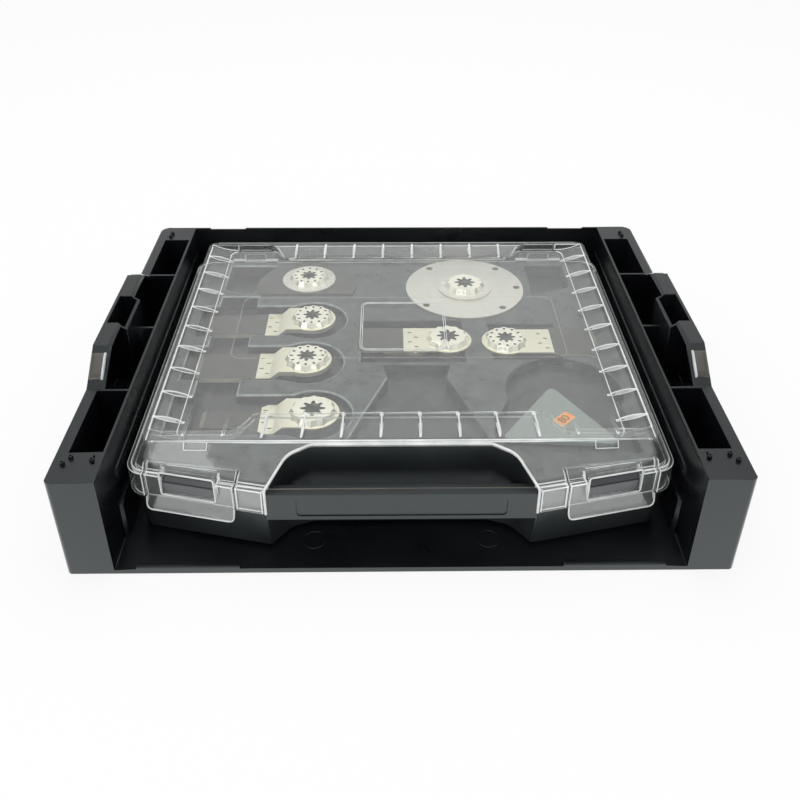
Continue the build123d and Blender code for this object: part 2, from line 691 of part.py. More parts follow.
# ---- latch tabs, cut from the same skirt
with BuildPart() as tab_blank:
    with BuildSketch(tab_face_plane(1)):
        with Locations((0, (parting_height + tab_top) / 2)):
            Rectangle(2 * tab_half, tab_top - parting_height)
    extrude(amount=tab_reach)
    add(lid_shell.part, mode=Mode.INTERSECT)

with BuildPart() as tab_right:
    add(tab_blank.part)
    # lower lip, flared for the fingers
    with BuildSketch(tab_side_plane(1, tab_half)):
        Polygon((0, parting_height + 0.01), (lid_wall, parting_height + 0.01), (0.4, tab_bottom + 1.8),
                (-lip_flare + 1.4, tab_bottom), (-lip_flare, tab_bottom), (-lip_flare, tab_bottom + 1.4),
                align=None)
    extrude(amount=2 * tab_half)
    # collar round the window, standing up over the ledge
    with BuildSketch(tab_face_plane(1).offset(-frame_proud)):
        with Locations((0, (window_bottom + window_top) / 2)):
            RectangleRounded(2 * (window_half + frame_width),
                             window_top - window_bottom + 2 * frame_width, 2)
    extrude(amount=frame_proud + lid_wall)
    with BuildSketch(tab_face_plane(1)):
        with Locations((0, (ledge_under + window_top + frame_width - 0.5) / 2)):
            Rectangle(2 * (window_half + frame_width), window_top + frame_width - 0.5 - ledge_under)
    extrude(amount=frame_inward)
    with BuildSketch(tab_face_plane(1).offset(-10)):
        with Locations((0, (window_bottom + window_top) / 2)):
            RectangleRounded(2 * window_half, window_top - window_bottom, 1)
    extrude(amount=30, mode=Mode.SUBTRACT)
    # rounded lower corners
    with BuildSketch(tab_face_plane(1).offset(-10)):
        with Locations((0, (tab_bottom + tab_top) / 2 + tab_corner)):
            RectangleRounded(2 * tab_half, tab_top - tab_bottom + 2 * tab_corner, tab_corner)
    extrude(amount=30, mode=Mode.INTERSECT)
save(tab_right.part, "lid_latch_right")
with BuildPart() as tab_left:
    add(tab_right.part)
    mirror(about=Plane.YZ, mode=Mode.REPLACE)
save(tab_left.part, "lid_latch_left")

# ---- hinge pins
for side, word in ((-1, "left"), (1, "right")):
    with BuildPart() as hinge_pin:
        middle = side * (hinge_from + hinge_length / 2)
        with BuildSketch(Plane.YZ.offset(middle - hinge_length / 2)):
            with Locations((hinge_y, hinge_z)):
                Circle(hinge_pin_diameter / 2)
        extrude(amount=hinge_length)
        chamfer(edges().filter_by(GeomType.CIRCLE), length=0.3)
    save(hinge_pin.part, "hinge_pin_" + word)

# ---- stacking latches of the tray
with BuildPart() as stack_latch:
    with BuildSketch(Plane.XZ.offset(-latch_half)):
        with Locations((latch_pin_x, latch_pin_height)):
            Circle(latch_barrel / 2)
        Polygon((latch_face - latch_thickness, latch_pin_height), (latch_face, latch_pin_height),
                (latch_face, latch_grip_top), (latch_face + 0.6, latch_grip_top - 1.2),
                (latch_face + 0.6, latch_foot + 1.2), (latch_face - 0.6, latch_foot),
                (latch_face - latch_hook, latch_foot), (latch_face - latch_hook, latch_foot + 1.8),
                (latch_face - latch_thickness, latch_foot + 4.4), align=None)
    extrude(amount=2 * latch_half)
    with BuildSketch(Plane.YZ.offset(latch_face - latch_thickness + 1.6)):
        with Locations((0, (latch_grip_top + latch_pin_height) / 2 - 1)):
            RectangleRounded(2 * latch_half - 14, 9, 2)
    extrude(amount=latch_thickness, mode=Mode.SUBTRACT)
    with BuildSketch(Plane.XZ.offset(-latch_half)):
        with Locations((latch_pin_x, latch_pin_height)):
            Circle(latch_pin_diameter / 2 + pin_clearance)
    extrude(amount=2 * latch_half, mode=Mode.SUBTRACT)
with BuildPart() as latch_pin:
    with BuildSketch(Plane.XZ.offset(-pin_half + 0.1)):
        with Locations((latch_pin_x, latch_pin_height)):
            Circle(latch_pin_diameter / 2)
    extrude(amount=2 * pin_half - 0.2)
for piece, name in ((stack_latch, "stacking_latch_"), (latch_pin, "latch_pin_")):
    with BuildPart() as mirrored:
        add(piece.part)
        mirror(about=Plane.YZ, mode=Mode.REPLACE)
    save(piece.part, name + "right")
    save(mirrored.part, name + "left")


# ==== insert and blades ====
def draw_well(well, grow):
    # plan of one well in the insert, grown outwards by the sheet's thickness
    if "points" in well:
        Polygon(*well["points"], align=None)
    if "round" in well:
        with Locations(well["round"][:2]):
            Circle(well["round"][2])
    if grow:
        offset(amount=grow, kind=Kind.INTERSECTION)


def row_floor(row):
    # what the lowest blade of a stack lies on
    return row["lower"] - blade_thickness - row["spares"] * blade_thickness


def block(left, right, front, back):
    return [(left, front), (right, front), (right, back), (left, back)]


wells = [dict(points=block(row_end, row["x"], row["y"] - well_half, row["y"] + well_half),
              round=(row["x"], row["y"], well_radius), floor=row_floor(row)) for row in rows.values()]
wells += [dict(points=centre_well, floor=centre_floor), dict(points=wide_well, floor=centre_floor),
          dict(points=left_trough, floor=finger_floor), dict(points=back_left_well, floor=finger_floor),
          dict(points=back_right_well, floor=finger_floor),
          dict(points=sheet_well_middle, floor=sheet_floor),
          dict(points=sheet_well_right, round=dome, floor=sheet_floor)]

with BuildPart() as insert_hollow:
    # what is empty under the formed sheet
    with BuildSketch(Plane.XY.offset(insert_foot - 1)):
        draw_inset_plan(insert_inset + insert_wall, insert_back - insert_wall)
    extrude(amount=insert_top - insert_wall - insert_foot + 1)
    with BuildSketch(Plane.XY):
        draw_recess(recess_wall + insert_gap + insert_wall)
    extrude(amount=insert_top, mode=Mode.SUBTRACT)
    for well in wells:
        with BuildSketch(Plane.XY.offset(well["floor"] - insert_wall)):
            draw_well(well, insert_wall)
        extrude(amount=insert_top, mode=Mode.SUBTRACT)

with BuildPart() as insert_tray:
    with BuildSketch(Plane.XY.offset(insert_foot)):
        draw_inset_plan(insert_inset, insert_back)
    extrude(amount=insert_top - insert_foot)
    with BuildSketch(Plane.XY):
        draw_recess(recess_wall + insert_gap)
    extrude(amount=insert_top, mode=Mode.SUBTRACT)
    add(insert_hollow.part, mode=Mode.SUBTRACT)
    for well in wells:
        with BuildSketch(Plane.XY.offset(well["floor"])):
            draw_well(well, 0)
        extrude(amount=insert_top, mode=Mode.SUBTRACT)
    # posts under the mounts of the cranked blades
    for row in rows.values():
        with BuildSketch(Plane.XY.offset(row_floor(row) - insert_wall / 2)):
            with Locations((row["x"], row["y"])):
                Circle(post_radius)
        extrude(amount=crank_drop + insert_wall / 2)
save(insert_tray.part, "insert_tray")


# ---- mounts: a fluted cup with a star opening, with or without a ring of slots
def draw_wave(radius, wave):
    points = []
    for k in range(2 * slot_count):
        reach = radius + wave * (-1) ** k
        turn = radians(180 * k / slot_count)
        points.append((reach * cos(turn), reach * sin(turn)))
    Polygon(*points, align=None)


def draw_star(tip, waist):
    # a star whose points end bluntly
    points = []
    for k in range(star_points):
        turn = radians(360 * k / star_points)
        half_step = turn + radians(180 / star_points)
        for across in (-star_tip_half, star_tip_half):
            points.append((tip * cos(turn) - across * sin(turn), tip * sin(turn) + across * cos(turn)))
        points.append((waist * cos(half_step), waist * sin(half_step)))
    Polygon(*points, align=None)


def make_cup(star):
    with BuildPart() as cup:
        with BuildSketch(Plane.XY):
            draw_wave(hub_diameter / 2 - hub_wave, hub_wave)
        with BuildSketch(Plane.XY.offset(hub_height)):
            draw_wave(hub_top_diameter / 2 - hub_wave, hub_wave)
        loft(ruled=True)
        with BuildSketch(Plane.XY):
            draw_wave(hub_diameter / 2 - hub_wave - hub_wall, hub_wave)
        with BuildSketch(Plane.XY.offset(hub_height - hub_wall)):
            draw_wave(hub_top_diameter / 2 - hub_wave - hub_wall, hub_wave)
        loft(ruled=True, mode=Mode.SUBTRACT)
        with BuildSketch(Plane.XY):
            draw_star(*star)
        extrude(amount=hub_height, mode=Mode.SUBTRACT)
    return cup.part


with BuildPart() as plain_mount:
    add(make_cup(plain_star))

with BuildPart() as slotted_mount:
    add(make_cup(slotted_star))
    with BuildSketch(Plane.XY.offset(hub_height - hub_wall)):
        with PolarLocations(slot_ring, slot_count):
            Polygon((-1.5, 0), (-0.8, -0.95), (0.8, -0.95), (1.5, 0), (0.8, 0.95), (-0.8, 0.95), align=None)
    extrude(amount=hub_wall, mode=Mode.SUBTRACT)


def place_mount(master, x, y, z, name):
    with BuildPart() as mount:
        with Locations((x, y, z)):
            add(master.part)
    save(mount.part, name)


# ---- blades: U runs from the mount to the tip
def toothed_end(reach, half, bow, pitch, depth):
    # the toothed tip from one side to the other, bowed outwards in the middle
    count = int(2 * half / pitch)
    points = []
    for k in range(2 * count + 1):
        v = half - k * half / count
        points.append((reach - bow * (v / half) ** 2 - depth * (k % 2 == 0), v))
    return points


def draw_blade(blade):
    # plan of one blade: a round end under its mount, a neck, shoulders and a toothed tip
    Circle(neck_round)
    tip = toothed_end(blade["reach"], blade["tip_half"], blade["bow"], blade["tooth"], blade["tooth"] * 0.6)
    Polygon((0, -neck_half), (blade["neck"], -neck_half), (blade["shoulder"], -blade["half"]),
            (blade["flare"], -blade["half"]), *reversed(tip), (blade["flare"], blade["half"]),
            (blade["shoulder"], blade["half"]), (blade["neck"], neck_half), (0, neck_half), align=None)
    Circle(plate_bore, mode=Mode.SUBTRACT)
    if blade["slots"]:
        with Locations(*[(blade["slots"] + 2.5 * (-1) ** k, (k - 1.5) * 7.0) for k in range(4)]):
            Rectangle(3.2, 1.4, mode=Mode.SUBTRACT)


def cranked_profile(blade, drop, level):
    # side view of one plate: level under the mount, a crank down, level again to the tip
    start, end = neck_length, neck_length + crank_length
    under = level - blade_thickness
    past = blade["reach"] + 1
    Polygon((-neck_round - 1, level), (start, level), (end, level - drop), (past, level - drop),
            (past, under - drop), (end, under - drop), (start, under), (-neck_round - 1, under), align=None)


def make_plate(blade, x, y, side, drop, level):
    # side is 1 where the blade points to +X, -1 where it points to -X
    with BuildPart() as plate:
        with BuildSketch(Plane(origin=(x, y, 0), x_dir=(side, 0, 0), z_dir=(0, 0, 1))):
            draw_blade(blade)
        extrude(amount=lid_height)
        with BuildSketch(Plane(origin=(x, y, 0), x_dir=(side, 0, 0), z_dir=(0, side * -1, 0))):
            cranked_profile(blade, drop, level)
        extrude(amount=hub_diameter, both=True, mode=Mode.INTERSECT)
    return plate.part


blade_one = dict(neck=38.0, shoulder=45.0, half=15.0, flare=70.0, tip_half=15.0, reach=88.0, bow=0.0,
                 tooth=2.0, slots=33.0)
blade_two = dict(neck=38.0, shoulder=46.0, half=17.0, flare=58.0, tip_half=17.0, reach=87.0, bow=2.0,
                 tooth=2.6, slots=33.0)
blade_three = dict(neck=34.0, shoulder=46.0, half=9.0, flare=66.0, tip_half=9.0, reach=81.0, bow=0.0,
                   tooth=2.0, slots=33.0)
blade_centre = dict(neck=36.0, shoulder=40.0, half=17.0, flare=60.0, tip_half=17.0, reach=74.0, bow=0.0,
                    tooth=2.0, slots=28.0)
blade_under = dict(neck=24.0, shoulder=28.0, half=14.0, flare=36.0, tip_half=14.0, reach=41.0, bow=0.0,
                   tooth=2.0, slots=0)
blade_right = dict(neck=36.0, shoulder=41.0, half=20.0, flare=62.0, tip_half=23.0, reach=75.0, bow=5.0,
                   tooth=3.0, slots=30.0)
plunge = {"one": blade_one, "two": blade_two, "three": blade_three}
for key, row in rows.items():
    top = row["lower"] + crank_drop
    save(make_plate(plunge[key], row["x"], row["y"], -1, crank_drop, top), "plunge_blade_" + key)
    mount = plain_mount if key == "three" else slotted_mount
    place_mount(mount, row["x"], row["y"], top, "plunge_mount_" + key)
    for k in range(row["spares"]):
        spare = make_plate(plunge[key], row["x"], row["y"], -1, crank_drop, top - (k + 1) * blade_thickness)
        save(spare, "spare_blade_%s_%d" % (key, k + 1))

flat_top = insert_top + blade_thickness
save(make_plate(blade_centre, *centre_hub, -1, 0, flat_top), "centre_blade")
place_mount(plain_mount, *centre_hub, flat_top, "centre_mount")
under_top = centre_floor + blade_thickness
save(make_plate(blade_under, *under_hub, -1, 0, under_top), "under_blade")
place_mount(slotted_mount, *under_hub, under_top, "under_mount")
save(make_plate(blade_right, *right_hub, 1, 0, flat_top), "wide_blade")
place_mount(slotted_mount, *right_hub, flat_top, "wide_mount")

# ---- round blades
with BuildPart() as round_blade:
    with BuildSketch(Plane.XY.offset(insert_top)):
        with Locations(big_disc):
            Circle(disc_diameter / 2)
            Circle(plate_bore, mode=Mode.SUBTRACT)
            for turn in disc_hole_turns:
                with PolarLocations(disc_hole_ring, 1, start_angle=turn):
                    Circle(disc_hole_diameter / 2, mode=Mode.SUBTRACT)
    extrude(amount=blade_thickness)
save(round_blade.part, "round_blade")
with BuildPart() as segment_blade:
    with BuildSketch(Plane.XY.offset(insert_top)):
        with Locations(segment_disc):
            Circle(segment_diameter / 2)
        with Locations(segment_hub):
            Circle(plate_bore, mode=Mode.SUBTRACT)
        with Locations((segment_disc[0], segment_disc[1] - segment_chord - segment_diameter / 2)):
            Rectangle(segment_diameter, segment_diameter, mode=Mode.SUBTRACT)
    extrude(amount=blade_thickness)
save(segment_blade.part, "segment_blade")
for name, place in (("round", big_disc), ("segment", segment_hub)):
    with BuildPart() as washer:
        with BuildSketch(Plane.XY.offset(flat_top)):
            with Locations(place):
                Circle(washer_diameter / 2)
                Circle(plate_bore, mode=Mode.SUBTRACT)
        extrude(amount=washer_thickness)
    save(washer.part, name + "_washer")
place_mount(plain_mount, *big_disc, flat_top + washer_thickness, "round_mount")
place_mount(slotted_mount, *segment_hub, flat_top + washer_thickness, "segment_mount")

# ---- sanding sheets
for name, points in (("middle", sheet_middle), ("right", sheet_right)):
    with BuildPart() as sheets:
        with BuildSketch(Plane.XY.offset(sheet_floor)):
            Polygon(*points, align=None)
            fillet(vertices(), radius=4)
        extrude(amount=sheet_stack)
    save(sheets.part, "sanding_sheets_" + name)
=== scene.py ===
import json
import math

import bmesh
import bpy
from mathutils import Matrix, Vector
from mathutils.geometry import delaunay_2d_cdt


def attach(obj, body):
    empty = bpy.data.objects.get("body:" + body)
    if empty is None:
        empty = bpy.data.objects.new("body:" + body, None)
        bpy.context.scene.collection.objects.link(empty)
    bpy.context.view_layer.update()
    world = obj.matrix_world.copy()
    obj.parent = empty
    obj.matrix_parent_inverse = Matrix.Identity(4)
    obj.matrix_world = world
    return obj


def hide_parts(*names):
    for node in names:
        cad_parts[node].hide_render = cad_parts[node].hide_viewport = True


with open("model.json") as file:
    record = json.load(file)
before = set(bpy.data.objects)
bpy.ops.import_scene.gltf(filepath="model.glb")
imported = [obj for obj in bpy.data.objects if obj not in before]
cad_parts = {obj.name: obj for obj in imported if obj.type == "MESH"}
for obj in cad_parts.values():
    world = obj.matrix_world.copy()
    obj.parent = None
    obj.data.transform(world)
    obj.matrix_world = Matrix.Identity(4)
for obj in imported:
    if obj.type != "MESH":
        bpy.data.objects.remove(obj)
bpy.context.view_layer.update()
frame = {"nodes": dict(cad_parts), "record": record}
nodes = frame["nodes"]
bodyOf = {node: body for body, names in frame["record"]["behaviour"]["bodies"].items() for node in names}
mm = 0.001
print("frame loaded:", len(nodes), "nodes")


# materials: colours are written as sRGB and worked out as linear light, sizes of patterns are in millimetres
def linear(hexColour):
    channels = [int(hexColour[i:i + 2], 16) / 255 for i in (1, 3, 5)]
    return [c / 12.92 if c <= 0.04045 else ((c + 0.055) / 1.055) ** 2.4 for c in channels] + [1.0]


def addNode(tree, kind, values=None, links=None, **settings):
    node = tree.nodes.new(kind)
    for name, value in settings.items():
        setattr(node, name, value)
    for name, value in (values or {}).items():
        node.inputs[name].default_value = value
    for name, source in (links or {}).items():
        tree.links.new(source, node.inputs[name])
    return node


def startMaterial(name, values):
    # a clean principled shader whose patterns are laid in the piece's own coordinates
    material = bpy.data.materials.new(name)
    material.use_nodes = True
    tree = material.node_tree
    tree.nodes.clear()
    shader = addNode(tree, "ShaderNodeBsdfPrincipled", values)
    place = addNode(tree, "ShaderNodeTexCoord").outputs["Object"]
    return material, tree, shader, place


def closeMaterial(material, surface):
    addNode(material.node_tree, "ShaderNodeOutputMaterial", links={"Surface": surface.outputs[0]})
    return material


def addNoise(tree, sizeInMm, detail, place):
    return addNode(tree, "ShaderNodeTexNoise", {"Scale": 1 / (sizeInMm * mm), "Detail": detail}, {"Vector": place})


def spreadOver(tree, value, spread, low, high):
    # stretches one part of a pattern's range over the values from low to high
    least, most = spread
    return addNode(tree, "ShaderNodeMapRange", {"From Min": least, "From Max": most, "To Min": low, "To Max": high},
                   {"Value": value}).outputs["Result"]


def addBump(tree, shader, height, strength, reach):
    bump = addNode(tree, "ShaderNodeBump", {"Strength": strength, "Distance": reach * mm}, {"Height": height})
    tree.links.new(bump.outputs["Normal"], shader.inputs["Normal"])


def colourBase(tree, shader, factor, look, spread=(0.0, 1.0)):
    # blends the dark and the light colour over the given part of the pattern's range
    ramp = addNode(tree, "ShaderNodeValToRGB", links={"Fac": factor})
    for element, word, position in zip(ramp.color_ramp.elements, ("dark", "light"), spread):
        element.color = linear(look[word])
        element.position = position
    tree.links.new(ramp.outputs["Color"], shader.inputs["Base Color"])


# what all moulded plastics share
plasticPattern = {"flowDetail": 3.0, "flowSpread": (0.35, 0.7), "rubSpread": (0.3, 0.7), "grainDetail": 2.0,
                  "grainReach": 0.1}


def mouldedPlastic(name, look):
    # a moulded thermoplastic: eroded grain in the bump, faint flow marks in the colour, wear in the gloss
    material, tree, shader, place = startMaterial(name, {
        "Roughness": look["roughness"], "IOR": look["ior"], "Specular IOR Level": look.get("specular", 0.5),
        "Specular Tint": linear(look.get("glint", "#ffffff")), "Transmission Weight": look.get("clear", 0.0)})
    flow = addNoise(tree, look["flowSize"], plasticPattern["flowDetail"], place)
    colourBase(tree, shader, flow.outputs["Fac"], look, plasticPattern["flowSpread"])
    rub = spreadOver(tree, flow.outputs["Fac"], plasticPattern["rubSpread"], look["roughness"] - look["rub"],
                     look["roughness"] + look["rub"])
    tree.links.new(rub, shader.inputs["Roughness"])
    grain = addNoise(tree, look["grainSize"], plasticPattern["grainDetail"], place)
    addBump(tree, shader, grain.outputs["Fac"], look["grainDepth"], plasticPattern["grainReach"])
    return closeMaterial(material, shader)


# black ABS of the tray, spark-eroded grain: dark body colour, a grey sheen where it faces the light
trayAbs = mouldedPlastic("blackAbsGrained", {
    "dark": "#0b0c10", "light": "#131418", "roughness": 0.3, "ior": 1.53, "rub": 0.05, "specular": 0.34,
    "glint": "#f2fffd", "flowSize": 60, "grainSize": 0.7, "grainDepth": 0.25})
# the same ABS, smoother and painted a lighter beige-grey: a painted sheen, as on the pads of the hoops and the
# ridge of the handle
sheenPaintedAbs = mouldedPlastic("blackAbsPaintedSheen", {
    "dark": "#3d3b34", "light": "#4c4941", "roughness": 0.16, "ior": 1.55, "rub": 0.03, "specular": 0.4,
    "flowSize": 15, "grainSize": 2.0, "grainDepth": 0.03})
# and near white along the pads' inner edges: a painted highlight
highlightPaintedAbs = mouldedPlastic("blackAbsPaintedHighlight", {
    "dark": "#b9bdc0", "light": "#d5d8da", "roughness": 0.12, "ior": 1.55, "rub": 0.04,
    "flowSize": 10, "grainSize": 2.0, "grainDepth": 0.03})
# dark grey ABS of the case base and its handle, a little smoother than the tray
caseAbs = mouldedPlastic("darkGreyAbsSatin", {
    "dark": "#1d2022", "light": "#26292b", "roughness": 0.36, "ior": 1.53, "rub": 0.05, "specular": 0.31,
    "glint": "#f2fffd", "flowSize": 45, "grainSize": 0.9, "grainDepth": 0.15})
# the same ABS smoother, and painted lighter on the fronts of the base's catches: a painted sheen
catchSheenAbs = mouldedPlastic("darkGreyAbsPaintedSheen", {
    "dark": "#2c3034", "light": "#363a3e", "roughness": 0.24, "ior": 1.53, "rub": 0.04,
    "flowSize": 20, "grainSize": 1.2, "grainDepth": 0.06})
# polystyrene sheet, vacuum formed: soft edges, cloudy grey, stretch marks
formedSheet = mouldedPlastic("greyPolystyreneFormed", {
    "dark": "#1b2329", "light": "#424a45", "roughness": 0.34, "ior": 1.59, "rub": 0.08,
    "flowSize": 9, "grainSize": 2.5, "grainDepth": 0.6})
# the same sheet painted darker where it lies below the top, in the wells: painted shade
wellShadeSheet = mouldedPlastic("greyPolystyreneShaded", {
    "dark": "#0e1112", "light": "#1b1e1f", "roughness": 0.38, "ior": 1.59, "rub": 0.06,
    "flowSize": 12, "grainSize": 2.5, "grainDepth": 0.4})
# the same sheet, smoother and painted light grey over the rounded upper edges of the wells: a painted highlight
wellEdgeHighlightSheet = mouldedPlastic("greyPolystyrenePaintedHighlight", {
    "dark": "#6d7573", "light": "#9aa19f", "roughness": 0.2, "ior": 1.59, "rub": 0.06,
    "flowSize": 7, "grainSize": 2.0, "grainDepth": 0.2})

# scuffs and the gain in mirroring of the clear plastic
clearPattern = {"scuffDetail": 5.0, "dullSpread": (0.45, 0.75), "cloudSpread": (0.35, 0.7), "facingBlend": 0.5,
                "steepness": 5.0}


def mixShaders(tree, share, first, second):
    return addNode(tree, "ShaderNodeMixShader", links={"Fac": share, 1: first.outputs[0], 2: second.outputs[0]})


def eitherOf(tree, first, second):
    return addNode(tree, "ShaderNodeMath", links={0: first, 1: second}, operation="MAXIMUM").outputs[0]


def clearPlastic(name, look):
    # clear styrene-acrylonitrile in a thin even wall: it mirrors more the flatter it is seen, bends nothing that is
    # seen through it, and carries a faint bloom of fine scuffs
    material, tree, bloom, place = startMaterial(name, {
        "Base Color": linear(look["bloom"]), "IOR": look["ior"], "Roughness": look["bloomRoughness"]})
    scuffs = addNoise(tree, look["scuffSize"], clearPattern["scuffDetail"], place).outputs["Fac"]
    dull = spreadOver(tree, scuffs, clearPattern["dullSpread"], look["roughness"], look["scuffed"])
    cloud = spreadOver(tree, scuffs, clearPattern["cloudSpread"], look["hazeLeast"], look["hazeMost"])
    gloss = addNode(tree, "ShaderNodeBsdfAnisotropic", {"Color": (1, 1, 1, 1)}, {"Roughness": dull})
    through = addNode(tree, "ShaderNodeBsdfTransparent", {"Color": linear(look["tint"])})
    facing = addNode(tree, "ShaderNodeLayerWeight", {"Blend": clearPattern["facingBlend"]}).outputs["Facing"]
    steep = addNode(tree, "ShaderNodeMath", {1: clearPattern["steepness"]}, {0: facing}, operation="POWER")
    mirrored = spreadOver(tree, steep.outputs[0], (0.0, 1.0), look["mirror"], 1.0)
    pane = mixShaders(tree, mirrored, through, gloss)
    hazy = mixShaders(tree, cloud, pane, bloom)
    # light from the lamps passes straight through to the blades
    rays = addNode(tree, "ShaderNodeLightPath")
    passing = addNode(tree, "ShaderNodeBsdfTransparent", {"Color": linear(look["shade"])})
    unseen = eitherOf(tree, rays.outputs["Is Shadow Ray"], rays.outputs["Is Diffuse Ray"])
    return closeMaterial(material, mixShaders(tree, unseen, hazy, passing))


# clear plastic at the rounded edges, painted near white for the light that the wall gathers and lets out there: a
# painted highlight
edgeLightPaintedClear = mouldedPlastic("clearSanPaintedEdgeLight", {
    "dark": "#dde1e0", "light": "#fafcfb", "roughness": 0.15, "ior": 1.57, "rub": 0.04, "clear": 0.15,
    "flowSize": 12, "grainSize": 1.5, "grainDepth": 0.02})
# and the clear walls of the lid and its tabs
lidClear = clearPlastic("clearSanMoulded", {
    "tint": "#fbfcfb", "shade": "#fbfcfb", "bloom": "#dfe3e2", "bloomRoughness": 0.4, "ior": 1.57, "mirror": 0.05,
    "hazeLeast": 0.03, "hazeMost": 0.06, "roughness": 0.02, "scuffed": 0.1, "scuffSize": 6})


# what all steels share
steelPattern = {"detail": 3.0, "reach": 0.05}


def steel(name, look):
    # steel: streaks along the grinding or rolling direction, slight stain in the colour
    material, tree, shader, place = startMaterial(name, {"Metallic": look["metallic"],
                                                         "Roughness": look["roughness"]})
    stretched = addNode(tree, "ShaderNodeMapping", {"Scale": look["stretch"]}, {"Vector": place}).outputs[0]
    streaks = addNoise(tree, look["streakSize"], steelPattern["detail"], stretched).outputs["Fac"]
    colourBase(tree, shader, streaks, look)
    addBump(tree, shader, streaks, look["depth"], steelPattern["reach"])
    return closeMaterial(material, shader)


# pressed and nickel-plated mounts: bright and a little warm
mountSteel = steel("platedSteelPressed", {
    "metallic": 0.6, "roughness": 0.2, "dark": "#f3ecd9", "light": "#fffcf0", "streakSize": 3,
    "stretch": (1, 1, 1), "depth": 0.1})
# the inside of the pressings and the walls of their slots, painted dark for the shade in them
shadePaintedSteel = steel("pressedSteelPaintedShade", {
    "metallic": 0.6, "roughness": 0.5, "dark": "#24221f", "light": "#35322e", "streakSize": 2,
    "stretch": (1, 1, 1), "depth": 0.1})
# ground spring steel of the blades' bare zones
groundSteel = steel("springSteelGround", {
    "metallic": 0.75, "roughness": 0.36, "dark": "#dbd5c0", "light": "#f2ecd8", "streakSize": 1.2,
    "stretch": (0.1, 1, 1), "depth": 0.3})
# the teeth, heat-blued before they are set
toothSteel = steel("springSteelHardened", {
    "metallic": 0.7, "roughness": 0.4, "dark": "#66635c", "light": "#7d7a72", "streakSize": 1.2,
    "stretch": (0.1, 1, 1), "depth": 0.3})
# satin spring steel of the large disc and the flange washers
discSteel = steel("springSteelSatin", {
    "metallic": 0.65, "roughness": 0.4, "dark": "#cac6be", "light": "#e0ddd5", "streakSize": 2.0,
    "stretch": (0.2, 1, 1), "depth": 0.2})
# the printed part of a blade: thin grey lacquer over steel
printedSteel = steel("greyLacquerPrinted", {
    "metallic": 0.25, "roughness": 0.42, "dark": "#3c3b38", "light": "#4c4b47", "streakSize": 2.0,
    "stretch": (0.15, 1, 1), "depth": 0.2})
# drawn steel of the hinge and latch pins
pinSteel = steel("steelDrawn", {
    "metallic": 1.0, "roughness": 0.3, "dark": "#8f8f8c", "light": "#a5a5a2", "streakSize": 1.0,
    "stretch": (0.1, 1, 1), "depth": 0.2})


def grit(name, look):
    # aluminium oxide grit bonded to paper: sharp grains drawn at several times their size, or they would not show
    material, tree, shader, place = startMaterial(name, {"Roughness": look["roughness"],
                                                         "Specular IOR Level": look["specular"]})
    grains = addNode(tree, "ShaderNodeTexVoronoi", {"Scale": 1 / (look["grainSize"] * mm)}, {"Vector": place})
    colourBase(tree, shader, grains.outputs["Distance"], look)
    addBump(tree, shader, grains.outputs["Distance"], look["depth"], look["reach"])
    return closeMaterial(material, shader)


gritLook = {"roughness": 0.9, "specular": 0.3, "grainSize": 0.9, "depth": 0.6, "reach": 0.3}
# worn grey grit of the right-hand sheets and dark grit of the middle ones
sandPaper = grit("greyAluminiumOxideGrit", gritLook | {"dark": "#76807d", "light": "#99a29e"})
darkPaper = grit("darkAluminiumOxideGrit", gritLook | {"dark": "#2c2e30", "light": "#45484a"})
# coated orange paper of the sticker and the ink of its number
stickerPaper = mouldedPlastic("orangePaperCoated", {
    "dark": "#ec9440", "light": "#f4a656", "roughness": 0.5, "ior": 1.45, "rub": 0.05,
    "flowSize": 6, "grainSize": 0.5, "grainDepth": 0.1})
printInk = mouldedPlastic("darkInkPrinted", {
    "dark": "#3a2c22", "light": "#4a382c", "roughness": 0.5, "ior": 1.45, "rub": 0.05,
    "flowSize": 3, "grainSize": 0.5, "grainDepth": 0.05})
print("materials made:", len(bpy.data.materials))


# merged, soft-edged copies of the solids
cleanLook = {"weld": 0.002, "flatTo": 0.6, "sharpFrom": 25, "excess": 2.0, "crossing": 0.001}


def copySolid(node):
    shape = bmesh.new()
    shape.from_mesh(nodes[node].data)
    bmesh.ops.remove_doubles(shape, verts=shape.verts, dist=cleanLook["weld"] * mm)
    bmesh.ops.dissolve_limit(shape, angle_limit=math.radians(cleanLook["flatTo"]), verts=shape.verts,
                             edges=shape.edges)
    return shape


def fillAgain(shape):
    # rounding can leave crossed corners in a large flat face: such a face is filled anew with triangles
    insideOnly = 1
    filled = {}
    for corner in shape.calc_loop_triangles():
        a, b, c = (loop.vert.co for loop in corner)
        filled[corner[0].face] = filled.get(corner[0].face, 0) + (b - a).cross(c - a).length / 2
    excess = cleanLook["excess"] * mm * mm
    for face in [face for face, area in filled.items() if area - face.calc_area() > excess]:
        upright = face.normal.to_track_quat("Z", "Y").to_matrix()
        verts, material = list(face.verts), face.material_index
        flat = [upright.transposed() @ vert.co for vert in verts]
        raised = upright.col[2] * sum(place.z for place in flat) / len(flat)
        places, _, triangles, sources, _, _ = delaunay_2d_cdt(
            [place.xy for place in flat], [], [list(range(len(flat)))], insideOnly, cleanLook["crossing"] * mm)
        bmesh.ops.delete(shape, geom=[face], context="FACES_ONLY")
        corners = [verts[source[0]] if source else shape.verts.new(upright @ place.to_3d() + raised)
                   for place, source in zip(places, sources)]
        for triangle in triangles:
            points = [corners[k] for k in triangle]
            if len(set(points)) == 3 and shape.faces.get(points) is None:
                shape.faces.new(points).material_index = material


